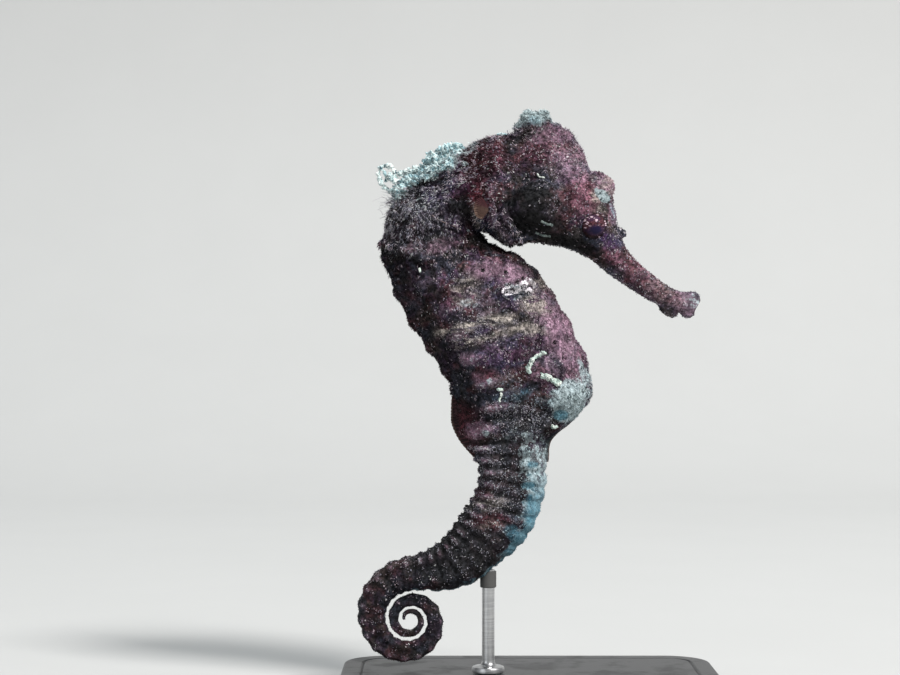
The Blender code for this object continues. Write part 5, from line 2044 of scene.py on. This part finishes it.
CRUSTS = (
    Crust("worm_tube_upper", ((2.4, 53.8), (1.5, 53.6), (0.6, 53.0), (-0.2, 52.3), (-0.6, 51.4),
            (-0.2, 50.5)), 0.32, 0.30),
    Crust("worm_tube_lower", ((1.4, 50.3), (2.4, 50.1), (3.4, 49.5), (4.4, 48.8)), 0.46, 0.36),
    Crust("chalk_streak_top", ((-5.3, 48.3), (-4.9, 48.1), (-4.5, 48.2)), 0.24, 0.18),
    Crust("chalk_streak_low", ((-4.9, 47.6), (-4.7, 47.1), (-5.0, 46.6), (-4.7, 46.0)), 0.15, 0.13),
    Crust("chalk_crescent", ((1.0, 81.8), (1.4, 81.3), (2.2, 81.1)), 0.16, 0.06),
    Crust("chalk_chip", ((-17.5, 66.9), (-17.3, 66.6), (-17.2, 66.2)), 0.20, 0.16),
    Crust("gill_streak_upper", ((1.5, 74.3), (2.4, 74.0), (3.4, 73.7)), 0.22, 0.10, Settled.DULL),
    Crust("gill_streak_lower", ((0.7, 72.7), (1.9, 72.3), (3.2, 72.1)), 0.22, 0.12, Settled.DULL),
    Crust("crease_line", ((-15.4, 75.2), (-14.2, 74.4), (-12.3, 73.6), (-10.8, 72.9)), 0.06, 0.02,
            Settled.HAIR),
    Crust("lid_line", ((10.3, 75.5), (11.0, 75.1), (11.5, 74.4), (11.8, 73.6)), 0.07, 0.03, Settled.HAIR),
    Crust("lichen_chip", ((3.1, 42.5), (3.6, 42.2), (4.1, 42.4)), 0.26, 0.20),
    Crust("silt_mat_near", ((-20.6, -0.9), (-18.6, -1.4), (-16.6, -1.2), (-14.6, -1.5), (-12.6, -1.2),
            (-11.0, -1.3)), 0.80, 0.80, Settled.SILT, True, 0.75),
    Crust("silt_mat_middle", ((-20.8, 0.2), (-19.0, 0.0), (-16.8, 0.2), (-13.8, -0.1), (-10.6, 0.1)),
            0.85, 0.85, Settled.SILT, True, 0.95),
    Crust("silt_mat_far", ((-19.6, 1.4), (-18.0, 1.1), (-15.8, 1.5), (-12.8, 1.1)), 0.75, 0.65,
            Settled.SILT, True, 0.7),
    Crust("silt_mat_high", ((-15.0, -0.4), (-13.6, -0.7), (-12.2, -0.5), (-11.0, -0.7)), 0.95, 0.90,
            Settled.SILT, True, 1.5),
    Crust("silt_mat_side", ((-16.4, 80.9), (-15.0, 81.8), (-13.4, 82.7), (-12.0, 83.6)), 0.60, 0.75,
            Settled.SILT, False, 0.2),
    Crust("silt_fluff", ((-5.2, -0.3), (-4.4, -0.5), (-3.6, -0.4)), 0.24, 0.36, Settled.SILT, True, 0.9),
    Crust("silt_arch", ((-22.0, -0.9, 79.2), (-23.2, -1.0, 80.7), (-24.1, -0.9, 82.0),
            (-23.9, -0.8, 83.0), (-22.8, -0.7, 83.5), (-21.7, -0.8, 82.7), (-21.0, -0.9, 81.2)), 0.30,
            0.40, Settled.FLUFF),
    Crust("silt_knot", ((-24.0, -0.7, 82.9), (-23.2, -1.1, 82.5), (-22.7, -1.0, 81.6),
            (-22.9, -0.7, 80.6)), 0.22, 0.34, Settled.SILT),
    Crust("silt_clot", ((-22.4, -1.0, 81.6), (-21.7, -1.2, 81.1), (-20.9, -1.1, 80.9)), 0.56, 0.60,
            Settled.FLUFF),
    Crust("silt_bar", ((-21.0, -0.7, 81.9), (-19.9, -0.8, 82.1), (-18.8, -0.7, 82.5),
            (-17.8, -0.6, 83.0)), 0.42, 0.50, Settled.FLUFF),
)


@dataclass
class Crusts:
    """Lays the crusts on the skin."""

    skin: Skin
    step: float = 0.12
    grain: Grain = field(default_factory=lambda: Grain(53))

    def build(self) -> list:
        """Make every crust as its own piece."""
        tree = BVHTree.FromObject(self.skin.thing, bpy.context.evaluated_depsgraph_get())
        finishes = {kind: self.finish(kind) for kind in Settled}
        return [self.lay(crust, tree, finishes[crust.kind]) for crust in CRUSTS]

    def lay(self, crust: Crust, tree: BVHTree, finish: Finish) -> Thing:
        """A tube along the crust's path, remeshed and roughened.

        Args:
            crust: What to lay.
            tree: The skin, for finding its surface.
            finish: Its material.

        Returns:
            The finished piece.
        """
        points = [self.on_skin(tree, crust, *place) for place in self.eased(crust.path)]
        curve = bpy.data.curves.new(crust.name, "CURVE")
        curve.dimensions = "3D"
        curve.bevel_depth = crust.radius * MM
        curve.bevel_resolution = 4
        curve.use_fill_caps = True
        spline = curve.splines.new("POLY")
        spline.points.add(len(points) - 1)
        for point, place in zip(spline.points, points):
            point.co = (*(place * MM), 1.0)
        tube = bpy.data.objects.new(crust.name, curve)
        bpy.context.scene.collection.objects.link(tube)
        pick(tube)
        bpy.ops.object.convert(target="MESH")
        apply(tube, "REMESH", mode="VOXEL", voxel_size=min(0.09, crust.radius * 0.4) * MM)
        apply(tube, "SMOOTH", factor=0.5, iterations=2)
        places = points_of(tube)
        coarse, fine = self.grain.rough(places, 0.55, 3), self.grain.smooth(places, 0.2)
        rise = crust.rough * coarse + 0.5 * crust.rough * fine
        put_points(tube, places + normals_of(tube) * rise[:, None])
        smooth_shaded(tube)
        tube.data.materials.append(finish)
        return tube

    def eased(self, path: tuple) -> list:
        """Close points along a smooth curve through a path."""
        knots = np.array(path)
        lengths = np.concatenate(([0.0], np.cumsum(np.linalg.norm(np.diff(knots, axis=0), axis=1))))
        fine = np.arange(0, lengths[-1], self.step)
        degree = min(3, len(path) - 1)
        fits = [np.poly1d(np.polyfit(lengths, column, degree)) for column in knots.T]
        return list(zip(*(fit(fine) for fit in fits)))

    @staticmethod
    def on_skin(tree: BVHTree, crust: Crust, x: float, other: float, free: float = None) -> Vector:
        """A place of a crust's path, raised off the skin by part of its radius.

        Args:
            tree: The skin, for finding its surface.
            crust: The crust that is laid.
            x: Place along the body.
            other: Height on the flank, or place sideways from above.
            free: Height of a path that stands free of the skin.

        Returns:
            The point, in millimetres.
        """
        if free is not None:
            return Vector((x, other, free))
        start, towards = Vector((x, -30, other)), Vector((0, 1, 0))
        if crust.above:
            start, towards = Vector((x, other, 120)), Vector((0, 0, -1))
        hit, normal, _, _ = tree.ray_cast(start * MM, towards)
        return hit / MM + normal * crust.radius * crust.lift

    @staticmethod
    def finish(kind: Settled) -> Finish:
        """Dry crust in two light colours, with a dark colour where its relief is low."""
        graph = Graph(f"{kind.name.lower()}_crust")
        place = graph.place()
        light, other, gap = kind.value
        grit = graph.noise(place, 0.24, 4.0, 0.7)
        colour = graph.mix(graph.noise(place, 0.8, 2.0).step(0.42, 0.58), light, other)
        colour = graph.mix((grit + 0.6 * graph.noise(place, 0.9, 2.0)).step(0.80, 0.66), colour, gap)
        relief = graph.relief(grit + 0.5 * graph.cells(place, 0.25), 0.10, 0.9)
        return graph.finish(Base_Color=colour, Roughness=0.85, Specular_IOR_Level=0.2, Normal=relief)


# Stand


@dataclass
class Stand:
    """The flat base and the turned rod up to the tail, at the solids' own places."""

    corner: float = 7.0
    edge: float = 0.5
    border: float = 2.4
    line: float = 0.3
    rod_radius: float = 1.0
    foot_radius: float = 2.6
    foot_height: float = 1.0
    sleeve: float = 0.28

    def build(self) -> list:
        """Make base, rod and sleeve; the slot and replaced nodes go with each."""
        return [
            (self.base(), "stand_base", ("stand_base",)),
            (self.rod(), "stand_rod", ("stand_rod",)),
            (self.sleeve_ring(), "stand_base", ()),
        ]

    def base(self) -> Thing:
        """The plate, its corners and edges rounded, with a fine line round its top."""
        low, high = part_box("stand_base")
        deselect()
        bpy.ops.mesh.primitive_cube_add(size=1.0, location=(low + high) / 2, scale=high - low)
        plate = settle(newest("stand_plate"))
        self.round_edges(plate, True, self.corner, 10)
        self.round_edges(plate, False, self.edge, 4)
        self.inset_top(plate, high.z)
        smooth_shaded(plate, 35)
        plate.data.materials.append(self.powder_coat())
        return plate

    @staticmethod
    def unmark(plate: Thing, kind: str, *steps) -> None:
        """Select none of the edges or faces, then run operators that select some.

        Args:
            plate: The plate.
            kind: EDGE or FACE.
            *steps: Functions of no arguments, each one operator call.
        """
        pick(plate)
        bpy.ops.object.mode_set(mode="EDIT")
        bpy.ops.mesh.select_mode(type=kind)
        bpy.ops.mesh.select_all(action="DESELECT")
        for step in steps:
            step()
        bpy.ops.object.mode_set(mode="OBJECT")

    def round_edges(self, plate: Thing, upright: bool, radius: float, segments: int) -> None:
        """Bevel the plate's upright edges, or else all its sharp ones.

        Args:
            plate: The plate.
            upright: Whether only the upright edges are meant.
            radius: Width of the bevel.
            segments: Steps across it.
        """
        if upright:
            self.unmark(plate, "EDGE")
            for edge in plate.data.edges:
                start, stop = (plate.data.vertices[index].co for index in edge.vertices)
                edge.select = abs((stop - start).normalized().z) > 0.9
        else:
            self.unmark(plate, "EDGE", lambda: bpy.ops.mesh.edges_select_sharp(sharpness=math.radians(60)))
        bpy.ops.object.mode_set(mode="EDIT")
        bpy.ops.mesh.bevel(offset=radius * MM, segments=segments, profile=0.5)
        bpy.ops.object.mode_set(mode="OBJECT")

    def inset_top(self, plate: Thing, top: float) -> None:
        """Cut the fine line into the top face, a border's width in from its edge."""
        self.unmark(plate, "FACE")
        for face in plate.data.polygons:
            face.select = face.normal.z > 0.99 and abs(face.center.z - top) < 0.01 * MM
        bpy.ops.object.mode_set(mode="EDIT")
        for thickness, depth in ((self.border, 0.0), (self.line, -self.line), (self.line, self.line)):
            bpy.ops.mesh.inset(thickness=thickness * MM, depth=depth * MM)
        bpy.ops.object.mode_set(mode="OBJECT")

    def rod(self) -> Thing:
        """The rod and its foot as one turned piece."""
        low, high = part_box("stand_rod")
        soft = 0.4 * self.foot_height
        ledge = low.z / MM + self.foot_height
        outline = (
            (self.foot_radius - 0.15, low.z / MM), (self.foot_radius, low.z / MM + 0.15),
            (self.foot_radius, ledge - soft), (self.foot_radius - 0.3 * soft, ledge - 0.3 * soft),
            (self.foot_radius - soft, ledge), (self.rod_radius + 1.4 * soft, ledge + 0.1 * soft),
            (self.rod_radius + 0.5 * soft, ledge + 0.6 * soft),
            (self.rod_radius + 0.1 * soft, ledge + 1.4 * soft),
            (self.rod_radius, ledge + 2.4 * soft), (self.rod_radius, high.z / MM))
        rod = self.turned("stand_post", outline, (low + high) / 2)
        rod.data.materials.append(self.steel())
        return rod

    def sleeve_ring(self) -> Thing:
        """A soft sleeve round the rod's top, where it carries the tail."""
        low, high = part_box("stand_rod")
        outer = self.rod_radius + self.sleeve
        top, height = high.z / MM - 0.2, 2.6
        outline = (
            (self.rod_radius - 0.1, top - height), (outer - 0.1, top - height), (outer, top - height + 0.1),
            (outer, top - 0.1), (outer - 0.1, top), (self.rod_radius - 0.1, top))
        ring = self.turned("stand_sleeve", outline, (low + high) / 2)
        ring.data.materials.append(self.rubber())
        return ring

    @staticmethod
    def turned(name: str, outline: tuple, middle: Vector) -> Thing:
        """A turned piece on an upright axis.

        Args:
            name: Name of the piece.
            outline: Radius and height of each edge, from the bottom up, in millimetres.
            middle: A point on the axis.

        Returns:
            The closed piece.
        """
        deselect()
        bpy.ops.mesh.primitive_circle_add(
            vertices=48, radius=outline[0][0] * MM, location=(middle.x, middle.y, outline[0][1] * MM),
            fill_type="NGON")
        piece = settle(newest(name))
        pick(piece)
        bpy.ops.object.mode_set(mode="EDIT")
        bpy.ops.mesh.select_all(action="SELECT")
        for (radius, height), (wider, higher) in zip(outline, outline[1:]):
            bpy.ops.mesh.extrude_region_move(
                TRANSFORM_OT_translate={"value": (0, 0, (higher - height) * MM)})
            centre = (middle.x, middle.y, higher * MM)
            bpy.ops.transform.resize(value=(wider / radius, wider / radius, 1), center_override=centre)
        bpy.ops.object.mode_set(mode="OBJECT")
        in_edit_mode(piece, face_outwards)
        return smooth_shaded(piece, 40)

    @staticmethod
    def powder_coat() -> Finish:
        """Satin black powder coat, faintly pebbled, with a little dust."""
        graph = Graph("stand_powder_coat")
        place = graph.place()
        pebble = graph.noise(place, 0.35, 2.0)
        dust = graph.noise(place, 7.0, 4.0, 0.6).step(0.48, 0.72)
        colour = graph.mix(dust * 0.35, (0.016, 0.016, 0.018), (0.070, 0.068, 0.066))
        return graph.finish(
            Base_Color=colour, Roughness=0.38 + 0.25 * dust, Normal=graph.relief(pebble, 0.05, 0.5))

    @staticmethod
    def steel() -> Finish:
        """Brushed steel, its fine lines running round the rod."""
        graph = Graph("stand_brushed_steel")
        lines = graph.noise(graph.place(stretch=(0.25, 0.25, 9.0)), 1.0, 3.0)
        colour = graph.mix(lines.step(0.35, 0.65), (0.46, 0.46, 0.47), (0.64, 0.64, 0.64))
        return graph.finish(
            Base_Color=colour, Metallic=1.0, Roughness=0.24 + 0.2 * lines,
            Normal=graph.relief(lines, 0.02, 0.4))

    @staticmethod
    def rubber() -> Finish:
        """Soft grey rubber."""
        graph = Graph("stand_rubber")
        grit = graph.noise(graph.place(), 0.2, 3.0)
        colour = graph.mix(grit, (0.05, 0.05, 0.05), (0.085, 0.083, 0.08))
        return graph.finish(
            Base_Color=colour, Roughness=0.62 + 0.2 * grit, Normal=graph.relief(grit, 0.03, 0.4))


# Studio


@dataclass(frozen=True)
class Lamp:
    """A soft light, placed round the animal, in millimetres and watts."""

    name: str
    place: tuple
    size: float
    power: float
    colour: tuple


@dataclass
class Studio:
    """Floor and backdrop, lights and camera."""

    aim: tuple = (VIEW[0], 0.0, VIEW[2])
    lens: float = 81.0
    floor_reach: float = 900.0
    bend: float = 260.0
    lamps: tuple = (
        Lamp("key", (760.0, -700.0, 1080.0), 300.0, 30.0, (1.0, 0.985, 0.96)),
        Lamp("fill", (-900.0, -1000.0, 350.0), 700.0, 2.0, (0.92, 0.97, 1.0)),
        Lamp("top", (-150.0, 250.0, 1250.0), 500.0, 9.0, (0.93, 0.98, 1.0)),
    )

    def build(self) -> None:
        """Make the whole studio."""
        self.floor()
        for lamp in self.lamps:
            self.light(lamp)
        self.camera()
        self.world()

    def floor(self) -> None:
        """A pale floor that curves up into a backdrop."""
        deselect()
        reach = self.floor_reach * MM
        bpy.ops.mesh.primitive_grid_add(x_subdivisions=2, y_subdivisions=60, size=2 * reach)
        sweep = newest("studio_sweep")
        points = points_of(sweep)
        past = np.clip(points[:, 1] - (self.floor_reach - 2 * self.bend), 0, None)
        turn = np.clip(past / self.bend, 0, math.pi / 2)
        rest = past - turn * self.bend
        points[:, 1] -= past - self.bend * np.sin(turn)
        points[:, 2] += self.bend * (1 - np.cos(turn)) + rest * 3
        put_points(sweep, points)
        smooth_shaded(sweep)
        graph = Graph("studio_paper")
        grain = graph.noise(graph.place(), 40.0, 3.0)
        colour = graph.mix(grain, (0.44, 0.44, 0.435), (0.46, 0.46, 0.455))
        sweep.data.materials.append(graph.finish(Base_Color=colour, Roughness=0.9))
        sweep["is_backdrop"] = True

    def light(self, lamp: Lamp) -> None:
        """One square soft light, turned to the animal."""
        data = bpy.data.lights.new(lamp.name, "AREA")
        data.energy = lamp.power
        data.size = lamp.size * MM
        data.color = lamp.colour
        thing = bpy.data.objects.new(lamp.name, data)
        thing.location = Vector(lamp.place) * MM
        thing.rotation_euler = (Vector(self.aim) - Vector(lamp.place)).to_track_quat("-Z", "Y").to_euler()
        bpy.context.scene.collection.objects.link(thing)

    def camera(self) -> None:
        """A level camera that looks along +Y at the animal's right side."""
        data = bpy.data.cameras.new("camera")
        data.lens = self.lens
        data.sensor_width = 36.0
        data.clip_start, data.clip_end = 0.01, 10.0
        thing = bpy.data.objects.new("camera", data)
        thing.location = Vector(VIEW) * MM
        thing.rotation_euler = (math.pi / 2, 0, 0)
        bpy.context.scene.collection.objects.link(thing)
        bpy.context.scene.camera = thing

    @staticmethod
    def world() -> None:
        """An even pale sky, and a plain view of the light."""
        world = bpy.data.worlds.new("studio_air")
        bpy.context.scene.world = world
        world.use_nodes = True
        air = world.node_tree.nodes["Background"]
        air.inputs["Color"].default_value = (0.93, 0.97, 1.0, 1.0)
        air.inputs["Strength"].default_value = 0.28
        bpy.context.scene.view_settings.view_transform = "Standard"


class Seahorse:
    """Builds the animal's pieces in order and hands them to the frame."""

    def __init__(self):
        """Lay the mid-line and the markings."""
        self.track = Track((*BODY, *tail_end(BODY[-1], True)))
        self.flesh = Flesh()
        self.skin = Skin(self.track, Track((*BODY, *tail_end(BODY[-1], False))), Markings(self.track))

    def build(self) -> None:
        """Skin, eyes, fins, crusts and coat."""
        self.skin.build()
        self.skin.thing.data.materials.append(self.flesh.skin())
        show(self.skin.thing, "body_skin", Skin.NODES)
        eye = Eye()
        for name, side in SIDES:
            show(eye.build(name, side), "eye", (f"eye_{name}",))
        self.fins()
        for crust in Crusts(self.skin).build():
            show(crust, "body_skin")
        coat = Coat(self.skin, self.flesh)
        for growth in GROWTHS:
            show(coat.build(growth), growth.slot)

    def fins(self) -> None:
        """Dorsal fin, anal fin and the two pectoral fins."""
        fin = Fin(self.track)
        dorsal = fin.upright("fin_dorsal", "loin_1", "tail_a", 1.1, 1, 18,
                             (0.080, 0.032, 0.038), (0.028, 0.013, 0.016))
        show(dorsal, "fin", ("dorsal_fin",))
        anal = fin.upright("fin_anal", "rump", "tail_a", 0.35, -1, 5,
                           (0.110, 0.130, 0.135), (0.060, 0.072, 0.078))
        show(anal, "fin", ("anal_fin",))
        for name, side in SIDES:
            show(fin.pectoral(f"fin_pectoral_{name}", side), "fin", (f"pectoral_fin_{name}",))


def main() -> None:
    """Build the studio, the animal and its stand."""
    logging.basicConfig(level=logging.INFO, format="%(name)s %(message)s")
    Studio().build()
    Seahorse().build()
    for thing, slot, nodes in Stand().build():
        show(thing, slot, nodes)
    boxes = {"cad": CAD_BOX, "visual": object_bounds()}
    {name: [list(corner) for corner in box] for name, box in boxes.items()}


if __name__ == "__main__":
    main()
